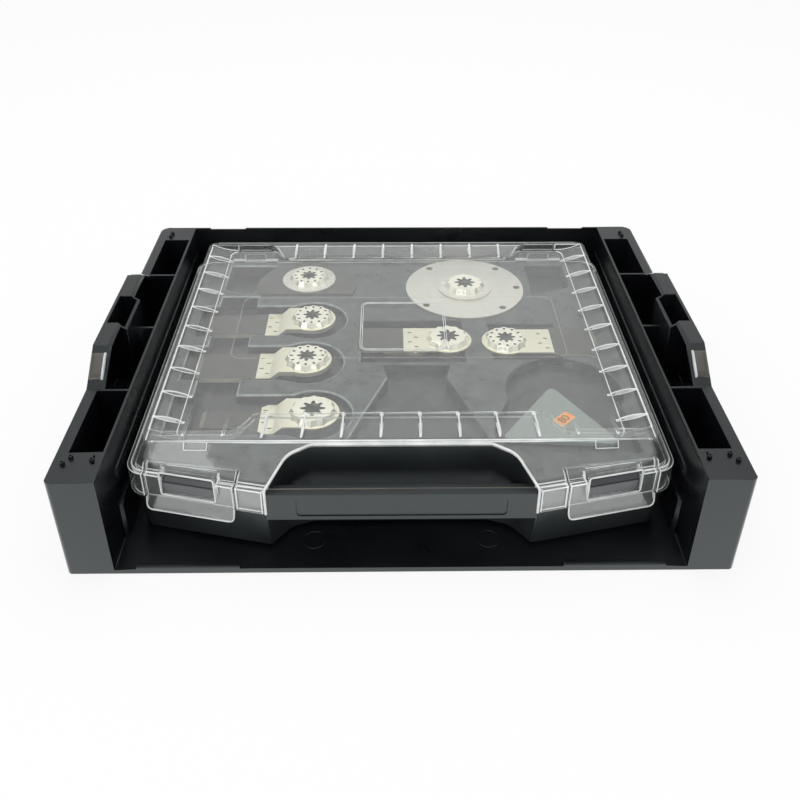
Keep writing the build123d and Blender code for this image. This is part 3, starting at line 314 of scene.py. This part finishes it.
def softenEdges(shape, look, chosenWhere=None):
    # rounds the long sharp edges, and the short ones beyond a given corner; small holes stay as they are
    chosen = []
    beyond = look.get("corner", (math.inf, math.inf))
    for edge in shape.edges:
        cornered = all(abs(v.co[i]) > beyond[i] * mm for v in edge.verts for i in (0, 1))
        if len(edge.link_faces) != 2 or (edge.calc_length() < look["shortest"] * mm and not cornered):
            continue
        sharp = math.degrees(edge.calc_face_angle(0)) > cleanLook["sharpFrom"]
        if sharp and (chosenWhere is None or chosenWhere(edge)):
            chosen.append(edge)
    made = bmesh.ops.bevel(shape, geom=chosen, offset=look["edge"] * mm, offset_type=look.get("kind", "OFFSET"),
                           segments=look["segments"], profile=0.5, affect="EDGES", material=-1,
                           clamp_overlap=False, loop_slide=True)
    fillAgain(shape)
    shape.normal_update()
    return [face for face in made["faces"] if face.is_valid]


# pieces: what they are made of, which body they ride on and which solid they stand for
def linkPiece(name, data):
    piece = bpy.data.objects.new(name, data)
    bpy.context.collection.objects.link(piece)
    return piece


def finishPiece(shape, name, materials, smooth=35, weighted=True):
    mesh = bpy.data.meshes.new(name)
    shape.to_mesh(mesh)
    shape.free()
    for material in materials:
        mesh.materials.append(material)
    mesh.shade_smooth()
    mesh.set_sharp_from_angle(angle=math.radians(smooth))
    piece = linkPiece(name, mesh)
    if weighted:
        even = piece.modifiers.new("evenNormals", "WEIGHTED_NORMAL")
        even.keep_sharp = True
        even.weight = 100
    return piece


def standFor(piece, node):
    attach(piece, bodyOf[node])
    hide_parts(node)


def addPiece(piece, body):
    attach(piece, body)


def drawCurve(name, curve, finish):
    # turns a curve or a line of text into the mesh of a piece
    holder = bpy.data.objects.new(name + "_line", curve)
    mesh = bpy.data.meshes.new_from_object(holder)
    bpy.data.objects.remove(holder)
    mesh.name = name
    mesh.materials.append(finish)
    return mesh


def turnShape(shape, profile, place, steps=20):
    # spins a profile of (radius, height) points round Z and sets it at a place
    ring = [shape.verts.new(place + Vector((r, 0, z)) * mm) for r, z in profile]
    lines = [shape.edges.new(pair) for pair in zip(ring, ring[1:])]
    bmesh.ops.spin(shape, geom=ring + lines, cent=place, axis=(0, 0, 1), angle=math.tau, steps=steps,
                   use_merge=True)
    bmesh.ops.remove_doubles(shape, verts=shape.verts, dist=cleanLook["weld"] / 2 * mm)


# carrier tray: even widths at its rounded edges keep the corners of the posts clean
trayLook = {"edge": 0.8, "segments": 2, "shortest": 6, "corner": (211.9, 169.4), "kind": "ABSOLUTE"}
shape = copySolid("carrier_tray")
softenEdges(shape, trayLook)
standFor(finishPiece(shape, "tray_moulding", [trayAbs]), "carrier_tray")

# pads that cap the ends of the hoops: pillow shapes laid on the slopes, smoother, with a painted sheen and a
# painted highlight along their inner edges
padLook = {"x": 215.4, "y": 66.1, "z": 88.9, "tilt": math.atan2(18.7, 29.0), "halfWidth": 5.2, "halfLength": 10.7,
           "rise": 1.3, "sink": 1.0, "cells": 16, "highlightFrom": 0.7, "rimCrowding": 0.55, "rimFall": 7,
           "cornerFall": 0.12}
shape = bmesh.new()
for side in (-1, 1):
    for end in (-1, 1):
        place = (Matrix.Translation(Vector((side * padLook["x"], end * padLook["y"], padLook["z"])) * mm)
                 @ Matrix.Rotation(-end * padLook["tilt"], 4, "X"))
        pad = bmesh.new()
        bmesh.ops.create_grid(pad, x_segments=padLook["cells"], y_segments=padLook["cells"], size=1.0)
        rimEdges = [edge for edge in pad.edges if edge.is_boundary]
        skirt = bmesh.ops.extrude_edge_only(pad, edges=rimEdges)
        lowered = {g for g in skirt["geom"] if isinstance(g, bmesh.types.BMVert)}
        for vert in pad.verts:
            u, v = (math.copysign(abs(c) ** padLook["rimCrowding"], c) for c in vert.co.xy)
            crown = math.sqrt(1 - max(abs(u), abs(v)) ** padLook["rimFall"])
            rise = padLook["rise"] * crown * (1 - padLook["cornerFall"] * u * u * v * v)
            if vert in lowered:
                rise = -padLook["sink"]
            vert.co = Vector((u * padLook["halfWidth"], v * padLook["halfLength"], rise)) * mm
        bmesh.ops.contextual_create(pad, geom=[edge for edge in pad.edges if edge.is_boundary])
        bmesh.ops.recalc_face_normals(pad, faces=pad.faces)
        # faces near the inner edge get the painted highlight
        for face in pad.faces:
            inward = -side * face.calc_center_median().x / mm
            face.material_index = 1 if inward > padLook["highlightFrom"] * padLook["halfWidth"] else 0
        bmesh.ops.transform(pad, matrix=place, verts=pad.verts)
        padMesh = bpy.data.meshes.new("padPart")
        pad.to_mesh(padMesh)
        pad.free()
        shape.from_mesh(padMesh)
        bpy.data.meshes.remove(padMesh)
pads = finishPiece(shape, "hoop_end_pads", [sheenPaintedAbs, highlightPaintedAbs], smooth=60)
addPiece(pads, "tray")

# hollow pegs on the posts
pegLook = {"places": ((213.8, -160.9), (210.2, -154.9), (196.2, -157.6), (209.0, 164.5), (209.6, 158.4)),
           "profile": ((0, 0.9), (0.75, 0.9), (0.8, 2.1), (1.0, 2.35), (1.4, 2.3), (1.6, 2.0), (1.75, -0.3)),
           "top": 79.3}
shape = bmesh.new()
for x, y in pegLook["places"]:
    for side in (-1, 1):
        turnShape(shape, pegLook["profile"], Vector((side * x, y, pegLook["top"])) * mm)
bmesh.ops.recalc_face_normals(shape, faces=shape.faces)
addPiece(finishPiece(shape, "post_pegs", [trayAbs], smooth=40), "tray")

# shallow guide ledges along the inside of the side walls
ledgeLook = {"wall": 189.6, "from": -140.0, "to": 170.0,
             "profile": ((0.4, 58.0), (-0.7, 57.4), (-1.1, 56.6), (-1.1, 52.2), (-0.7, 51.4), (0.4, 50.4))}
shape = bmesh.new()
for side in (-1, 1):
    ends = []
    for y in (ledgeLook["from"], ledgeLook["to"]):
        ends.append([shape.verts.new(Vector((side * (ledgeLook["wall"] + dx), y, z)) * mm)
                     for dx, z in ledgeLook["profile"]])
    shape.faces.new(ends[0])
    shape.faces.new(ends[1])
    count = len(ledgeLook["profile"])
    for k in range(count):
        after = (k + 1) % count
        shape.faces.new((ends[0][k], ends[0][after], ends[1][after], ends[1][k]))
bmesh.ops.recalc_face_normals(shape, faces=shape.faces)
addPiece(finishPiece(shape, "wall_ledges", [trayAbs], smooth=40), "tray")
print("tray done")

# case base
baseLook = {"edge": 0.5, "segments": 2, "shortest": 5}
shape = copySolid("case_base")
softenEdges(shape, baseLook)
# the fronts of its two catches, the faces turned forward, get the smoother ABS with its painted sheen
catchLook = {"reach": (112.0, 160.0), "front": -138.0, "heights": (43.0, 57.5), "facing": 0.8}
near, far = catchLook["reach"]
low, high = catchLook["heights"]
for face in shape.faces:
    centre = face.calc_center_median() / mm
    onCatch = near < abs(centre.x) < far and low < centre.z < high and centre.y < catchLook["front"]
    if onCatch and face.normal.y < -catchLook["facing"]:
        face.material_index = 1
standFor(finishPiece(shape, "base_moulding", [caseAbs, catchSheenAbs]), "case_base")

# insert: only the wells' upper edges are rounded, as a sheet drawn over a mould is
sheetLook = {"edge": 1.3, "segments": 3, "shortest": 1.0, "top": 58.4, "halfWide": 168.0, "front": -112.0,
             "back": 143.0, "bladesTo": -12.0, "shadedBelow": 57.4}
shape = copySolid("insert_tray")
edges = softenEdges(shape, sheetLook, lambda edge: min(v.co.z for v in edge.verts) > sheetLook["top"] * mm)
# rounded edges among the blades get the painted highlight
for face in edges:
    centre = face.calc_center_median() / mm
    amongBlades = -sheetLook["halfWide"] < centre.x < sheetLook["bladesTo"]
    if amongBlades and sheetLook["front"] < centre.y < sheetLook["back"]:
        face.material_index = 1
# the sheet below its top, in the wells, gets the painted shade
for face in shape.faces:
    if face.calc_center_median().z / mm < sheetLook["shadedBelow"]:
        face.material_index = 2
standFor(finishPiece(shape, "insert_forming", [formedSheet, wellEdgeHighlightSheet, wellShadeSheet]), "insert_tray")
print("base and insert done")

# lid and its latch tabs: the rounded edges and the ribs are painted near white for the light that they gather
lidLook = {"edge": 0.6, "segments": 2, "shortest": 1.2, "joint": (61.9, 63.4), "front": -120.0,
           "step": (150.2, 150.8), "ribsFrom": 70.2, "ribThick": 1.5, "sideRibs": 146.0,
           "inside": ((-169.6, -132.1), (169.6, 150.6)), "pitch": (26.4, 29.3), "start": (13.2, 10.2),
           "ribSlack": 1.0, "archHalf": 92.0, "upright": 0.15, "slope": (0.7, 0.9), "slopeFacing": 0.4}


def alongArch(edge):
    # where the wall of the finger recess meets the sloping front
    if len(edge.link_faces) != 2 or any(abs(v.co.x) / mm > lidLook["archHalf"] for v in edge.verts):
        return False
    upright, sloping = sorted((face.normal for face in edge.link_faces), key=lambda normal: abs(normal.z))
    flattest, steepest = lidLook["slope"]
    onSlope = flattest < sloping.z < steepest and sloping.y < -lidLook["slopeFacing"]
    return abs(upright.z) < lidLook["upright"] and onSlope


def gathersLight(edge):
    # not the flexing joint above a tab, nor the low step beside the panel
    places = [v.co / mm for v in edge.verts]
    low, high = lidLook["joint"]
    onJoint = all(low < p.z < high and p.y < lidLook["front"] for p in places)
    near, far = lidLook["step"]
    return not onJoint and not all(near < abs(p.x) < far for p in places)


def onRib(places):
    # the low ribs that stand across the band, at their own spacing
    (left, front), (right, back) = lidLook["inside"]
    if not all(left < p.x < right and front < p.y < back and p.z > lidLook["ribsFrom"] for p in places):
        return False
    axis = 1 if min(abs(p.x) for p in places) > lidLook["sideRibs"] else 0
    near, far = min(p[axis] for p in places), max(p[axis] for p in places)
    pitch = lidLook["pitch"][axis]
    steps = ((near + far) / 2 - lidLook["start"][axis]) / pitch
    return far - near < lidLook["ribThick"] and abs(steps - round(steps)) * pitch < lidLook["ribSlack"]


for node in ("lid", "lid_latch_left", "lid_latch_right"):
    shape = copySolid(node)
    if node == "lid":
        archEdges = [edge for edge in shape.edges if alongArch(edge)]
        archPoints = sorted({tuple(round(c / mm, 2) for c in v.co) for edge in archEdges for v in edge.verts})
    for face in softenEdges(shape, lidLook, gathersLight):
        face.material_index = 1
    # the ribs get the same painted light
    for face in shape.faces:
        if onRib([v.co / mm for v in face.verts]):
            face.material_index = 1
    standFor(finishPiece(shape, node + "_moulding", [lidClear, edgeLightPaintedClear]), node)


# raised lines: round beads, partly sunk into the surface, painted near white as lines of light unless another
# finish is given
def addBead(name, loops, look, body, finish=edgeLightPaintedClear):
    curve = bpy.data.curves.new(name, "CURVE")
    curve.dimensions = "3D"
    curve.bevel_depth = look["radius"] * mm
    curve.bevel_resolution = 2
    curve.use_fill_caps = True
    for points, closed in loops:
        line = curve.splines.new("POLY")
        line.points.add(len(points) - 1)
        for point, (x, y, z) in zip(line.points, points):
            point.co = (x * mm, y * mm, (z - look["sink"]) * mm, 1)
        line.use_cyclic_u = closed
    mesh = drawCurve(name, curve, finish)
    mesh.shade_smooth()
    addPiece(linkPiece(name, mesh), body)


def roundedLoop(left, right, front, back, radius, height, steps=6):
    points = []
    corners = ((right - radius, back - radius, 0), (left + radius, back - radius, 90),
               (left + radius, front + radius, 180), (right - radius, front + radius, 270))
    for x, y, turn in corners:
        for step in range(steps + 1):
            angle = math.radians(turn + 90 * step / steps)
            points.append((x + radius * math.cos(angle), y + radius * math.sin(angle), height))
    return points


# two faint rings on the tray's floor
ringLook = {"x": 59.6, "y": -152.0, "top": 3.2, "half": 7.8, "radius": 0.6, "sink": 0.35}
loops = []
for side in (-1, 1):
    x, y, half = side * ringLook["x"], ringLook["y"], ringLook["half"]
    loops.append((roundedLoop(x - half, x + half, y - half, y + half, half, ringLook["top"]), True))
addBead("tray_floor_rings", loops, ringLook, "tray", trayAbs)

# the ridge along the handle's top, its highlight painted in a lighter beige-grey
ridgeLook = {"half": 87.5, "y": -157.4, "top": 54.4, "radius": 0.8, "sink": 0.25}
ridge = [(side * ridgeLook["half"], ridgeLook["y"], ridgeLook["top"]) for side in (-1, 1)]
addBead("handle_ridge", [(ridge, False)], ridgeLook, "case", sheenPaintedAbs)

# a wide line in the clear plastic and a double frame, painted near white as lines of light, on the lid's panel
panelTop = 70.0
panelLook = {"loop": (-129, 129, -28.5, 62.5, 8), "radius": 0.4, "sink": 0.15}
frameLook = {"loops": ((-30.6, 37.6, -18.1, 54.1, 6.6), (-29.0, 36.0, -16.5, 52.5, 5)), "radius": 0.3, "sink": 0.15}
loops = [(roundedLoop(*panelLook["loop"], panelTop), True)]
addBead("lid_panel_line", loops, panelLook, "lid", lidClear)
loops = [(roundedLoop(*loop, panelTop), True) for loop in frameLook["loops"]]
addBead("lid_panel_frame", loops, frameLook, "lid")

# open marks on the front slope, painted near white as lines of light
markLook = {"near": 128.0, "far": 143.0, "foot": (-139.5, 72.2), "head": (-134.9, 75.7), "farStep": 0.6,
            "radius": 0.45, "sink": 0.1}
loops = []
for side in (-1, 1):
    near, far = side * markLook["near"], side * markLook["far"]
    (footY, footZ), (headY, headZ) = markLook["foot"], markLook["head"]
    mark = [(near, headY, headZ), (near, footY, footZ), (far, footY + markLook["farStep"], footZ),
            (far, headY, headZ)]
    loops.append((mark, False))
addBead("lid_slope_marks", loops, markLook, "lid")

# rolled edge round the finger recess, down the ends of the skirt, painted near white as a line of light
rollLook = {"front": -163.6, "top": 56.8, "foot": 38.6, "radius": 1.0, "sink": 0.35}
reach = archPoints[-1][0]
ends = [(reach, rollLook["front"], rollLook["top"]), (reach, rollLook["front"], rollLook["foot"])]
rolled = [(-x, y, z) for x, y, z in ends[::-1]] + archPoints + ends
addBead("lid_recess_roll", [(rolled, False)], rollLook, "lid")

# raised frames round the latch windows, painted near white as lines of light
windowLook = {"middle": 140.3, "y": -152.35, "slant": math.atan2(21.7, 93.7), "proud": 0.95,
              "loop": (-19.0, 19.0, 43.0, 61.9, 1.8), "radius": 0.5, "sink": 0.0}
acrossX, acrossY = math.cos(windowLook["slant"]), math.sin(windowLook["slant"])
for side, word in ((-1, "left"), (1, "right")):
    points = []
    for across, height, proud in roundedLoop(*windowLook["loop"], windowLook["proud"]):
        outX = across * acrossX + proud * acrossY
        outY = across * acrossY - proud * acrossX
        points.append((side * (windowLook["middle"] + outX), windowLook["y"] + outY, height))
    addBead("latch_window_frame_" + word, [(points, True)], windowLook, "lid_latch_" + word)

# rolled lower edge of the tabs, proud of them by a tenth, painted near white as a line of light
lipLook = {"radius": 0.55, "sink": -0.1,
           "path": ((110.2, -159.4, 38.0), (110.5, -160.7, 32.6), (111.0, -161.1, 30.8), (112.0, -161.1, 29.6),
                    (113.4, -160.7, 28.9), (115.0, -160.4, 28.7), (166.9, -148.4, 28.7), (168.3, -148.1, 29.0),
                    (169.5, -147.8, 29.8), (170.3, -147.3, 31.0), (170.6, -146.8, 32.6), (170.4, -145.5, 38.0))}
for side, word in ((-1, "left"), (1, "right")):
    lip = [(side * x, y, z) for x, y, z in lipLook["path"]]
    addBead("latch_lip_roll_" + word, [(lip, False)], lipLook, "lid_latch_" + word)
print("lid and raised lines done")

# blades: bare where they are clamped and toothed, printed between. Each row: the hub's x, the side that the blade
# points to, and the distances from the hub where the print starts and ends
bladeLook = {
    "plunge_blade_one": (-71.5, -1, 38.5, 84.5), "plunge_blade_two": (-71.5, -1, 38.5, 82.0),
    "plunge_blade_three": (-62.6, -1, 38.5, 77.5), "spare_blade_one_1": (-71.5, -1, 38.5, 84.5),
    "spare_blade_one_2": (-71.5, -1, 38.5, 84.5), "spare_blade_two_1": (-71.5, -1, 38.5, 82.0),
    "spare_blade_two_2": (-71.5, -1, 38.5, 82.0), "centre_blade": (39.4, -1, 35.8, 75.0),
    "under_blade": (13.5, -1, 30.0, 38.0), "wide_blade": (85.7, 1, 37.0, 70.5)}
facingUp = 0.9
for node, (hubX, side, printFrom, printTo) in bladeLook.items():
    shape = copySolid(node)
    for reach in (printFrom, printTo):
        bmesh.ops.bisect_plane(shape, geom=shape.verts[:] + shape.edges[:] + shape.faces[:],
                               dist=cleanLook["weld"] / 20 * mm, plane_co=((hubX + side * reach) * mm, 0, 0),
                               plane_no=(1, 0, 0))
    for face in shape.faces:
        along = (face.calc_center_median().x / mm - hubX) * side
        if face.normal.z > facingUp and along > printFrom:
            face.material_index = 1 if along < printTo else 2
    standFor(finishPiece(shape, node + "_plate", [groundSteel, printedSteel, toothSteel]), node)

# pieces whose solids need only their finish and smooth faces
plain = {"hinge_pin_left": pinSteel, "hinge_pin_right": pinSteel, "latch_pin_left": pinSteel,
         "latch_pin_right": pinSteel, "round_blade": discSteel, "round_washer": discSteel,
         "segment_blade": printedSteel, "segment_washer": discSteel, "sanding_sheets_right": sandPaper,
         "sanding_sheets_middle": darkPaper, "stacking_latch_left": trayAbs, "stacking_latch_right": trayAbs}
for node, finish in plain.items():
    standFor(finishPiece(copySolid(node), node + "_finished", [finish]), node)

# mounts: bright outside, painted dark for shade inside and in the punched slots
mountLook = {"hub": 35.0, "innerRadius": 14.4, "tilt": 0.3}
for node in nodes:
    if "mount" not in node:
        continue
    shape = copySolid(node)
    least = Vector([min(v.co[i] for v in shape.verts) for i in range(3)]) / mm
    for face in shape.faces:
        outward = face.calc_center_median().xy / mm - least.xy - Vector((mountLook["hub"], mountLook["hub"])) / 2
        punched = abs(face.normal.z) < mountLook["tilt"] and outward.length < mountLook["innerRadius"]
        face.material_index = 1 if punched or face.normal.z < -mountLook["tilt"] else 0
    standFor(finishPiece(shape, node + "_finished", [mountSteel, shadePaintedSteel]), node)

# welding dimples round the washers
dimpleLook = {"centres": {"round": (59.0, 97.0), "segment": (-79.0, 111.0)}, "top": 61.1, "sink": 0.5, "count": 12,
              "ring": 20.4, "first": 12, "radius": 1.0}
for name, (x, y) in dimpleLook["centres"].items():
    shape = bmesh.new()
    for turn in range(dimpleLook["count"]):
        angle = math.radians(360 / dimpleLook["count"] * turn + dimpleLook["first"])
        place = Vector((x + dimpleLook["ring"] * math.cos(angle), y + dimpleLook["ring"] * math.sin(angle),
                        dimpleLook["top"] - dimpleLook["sink"]))
        bmesh.ops.create_uvsphere(shape, u_segments=12, v_segments=8, radius=dimpleLook["radius"] * mm,
                                  matrix=Matrix.Translation(place * mm))
    dimples = finishPiece(shape, name + "_washer_dimples", [mountSteel])
    addPiece(dimples, "case")

# sticker with a plain number on the right-hand sheets
stickerLook = {"corners": ((120.6, -74.4), (127.1, -81.1), (115.5, -93.2), (109.3, -85.1)), "low": 53.0,
               "thick": 0.12, "text": "80", "size": 9.0, "ink": 0.02, "place": (118.1, -83.8, 53.14), "turn": 48}
shape = bmesh.new()
shape.faces.new([shape.verts.new(Vector((x, y, stickerLook["low"])) * mm) for x, y in stickerLook["corners"]])
shape.normal_update()
if shape.faces[:][0].normal.z < 0:
    bmesh.ops.reverse_faces(shape, faces=shape.faces)
lifted = bmesh.ops.extrude_face_region(shape, geom=shape.faces[:])
bmesh.ops.translate(shape, verts=[g for g in lifted["geom"] if isinstance(g, bmesh.types.BMVert)],
                    vec=(0, 0, stickerLook["thick"] * mm))
addPiece(finishPiece(shape, "grit_sticker", [stickerPaper]), "case")
words = bpy.data.curves.new("grit_number", "FONT")
words.body = stickerLook["text"]
words.size = stickerLook["size"] * mm
words.extrude = stickerLook["ink"] * mm
words.align_x = "CENTER"
words.align_y = "CENTER"
mesh = drawCurve("grit_number", words, printInk)
mesh.transform(Matrix.Translation(Vector(stickerLook["place"]) * mm)
               @ Matrix.Rotation(math.radians(stickerLook["turn"]), 4, "Z"))
addPiece(linkPiece("grit_number", mesh), "case")
print("blades, mounts and sheets done")

# floor: seen and mirrored, it glows so that the ground stays white
stageLook = {"floor": "#f4f4f3", "floorWhite": 0.85, "floorShine": 2.6, "size": 6.0, "drop": 0.2, "world": 0.75}
floorMesh = bmesh.new()
bmesh.ops.create_grid(floorMesh, x_segments=1, y_segments=1, size=stageLook["size"])
floorMesh.normal_update()
floorMaterial = bpy.data.materials.new("paintedBoardWhite")
floorMaterial.use_nodes = True
tree = floorMaterial.node_tree
tree.nodes.clear()
rays = addNode(tree, "ShaderNodeLightPath").outputs
paint = addNode(tree, "ShaderNodeBsdfDiffuse", {"Color": linear(stageLook["floor"])})
brighter = spreadOver(tree, rays["Is Glossy Ray"], (0.0, 1.0), 1.0, stageLook["floorShine"])
glow = addNode(tree, "ShaderNodeEmission", {"Color": (1, 1, 1, 1)}, {"Strength": brighter})
seen = eitherOf(tree, rays["Is Camera Ray"], rays["Is Glossy Ray"])
share = addNode(tree, "ShaderNodeMath", {1: stageLook["floorWhite"]}, {0: seen}, operation="MULTIPLY")
closeMaterial(floorMaterial, mixShaders(tree, share.outputs[0], paint, glow))
floor = finishPiece(floorMesh, "floor", [floorMaterial], weighted=False)
floor.data.transform(Matrix.Translation((0, 0, -stageLook["drop"] * mm)))

# light: an even white room, dimmer as a light than as a background, and two soft boxes
world = bpy.data.worlds.new("studio")
bpy.context.scene.world = world
world.use_nodes = True
tree = world.node_tree
tree.nodes.clear()
rays = addNode(tree, "ShaderNodeLightPath").outputs
seen = eitherOf(tree, rays["Is Camera Ray"], rays["Is Glossy Ray"])
seenThrough = eitherOf(tree, seen, rays["Is Transmission Ray"])
soft = addNode(tree, "ShaderNodeBackground", {"Color": (1, 1, 1, 1), "Strength": stageLook["world"]})
pale = addNode(tree, "ShaderNodeBackground", {"Color": (1, 1, 1, 1), "Strength": 1.0})
room = mixShaders(tree, seenThrough, soft, pale)
addNode(tree, "ShaderNodeOutputWorld", links={"Surface": room.outputs[0]})
# each lamp: place and target in metres, width, watts
lampLook = {"softBoxOver": ((0.0, 0.35, 1.5), (0.0, 0.0, 0.05), 1.6, 9.0),
            "softBoxFront": ((-0.6, -1.6, 0.9), (0.0, 0.0, 0.05), 1.0, 6.0)}
for name, (place, target, size, power) in lampLook.items():
    light = bpy.data.lights.new(name, "AREA")
    light.energy = power
    light.size = size
    lamp = linkPiece(name, light)
    lamp.location = place
    lamp.rotation_euler = (Vector(target) - Vector(place)).to_track_quat("-Z", "Y").to_euler()

# camera: focal length in pixels of a square frame, angles in radians
cameraLook = {"place": (-8.5, -598.6, 455.5), "yaw": -0.0154, "pitch": 0.5697, "roll": 0.0045,
              "focal": 903.99, "frame": 800, "shiftY": -0.08125, "sensor": 36.0, "nearest": 20}
cameraData = bpy.data.cameras.new("camera")
cameraData.sensor_width = cameraLook["sensor"]
cameraData.lens = cameraLook["focal"] / cameraLook["frame"] * cameraData.sensor_width
cameraData.shift_y = cameraLook["shiftY"]
cameraData.clip_start = cameraLook["nearest"] * mm
camera = linkPiece("camera", cameraData)
camera.location = Vector(cameraLook["place"]) * mm
yaw, pitch = cameraLook["yaw"], cameraLook["pitch"]
forward = Vector((-math.sin(yaw) * math.cos(pitch), math.cos(yaw) * math.cos(pitch), -math.sin(pitch)))
turn = forward.to_track_quat("-Z", "Y").to_matrix() @ Matrix.Rotation(cameraLook["roll"], 3, "Z")
camera.rotation_euler = turn.to_euler()
bpy.context.scene.camera = camera
bpy.context.scene.view_settings.view_transform = "Standard"
print("stage, light and camera done")
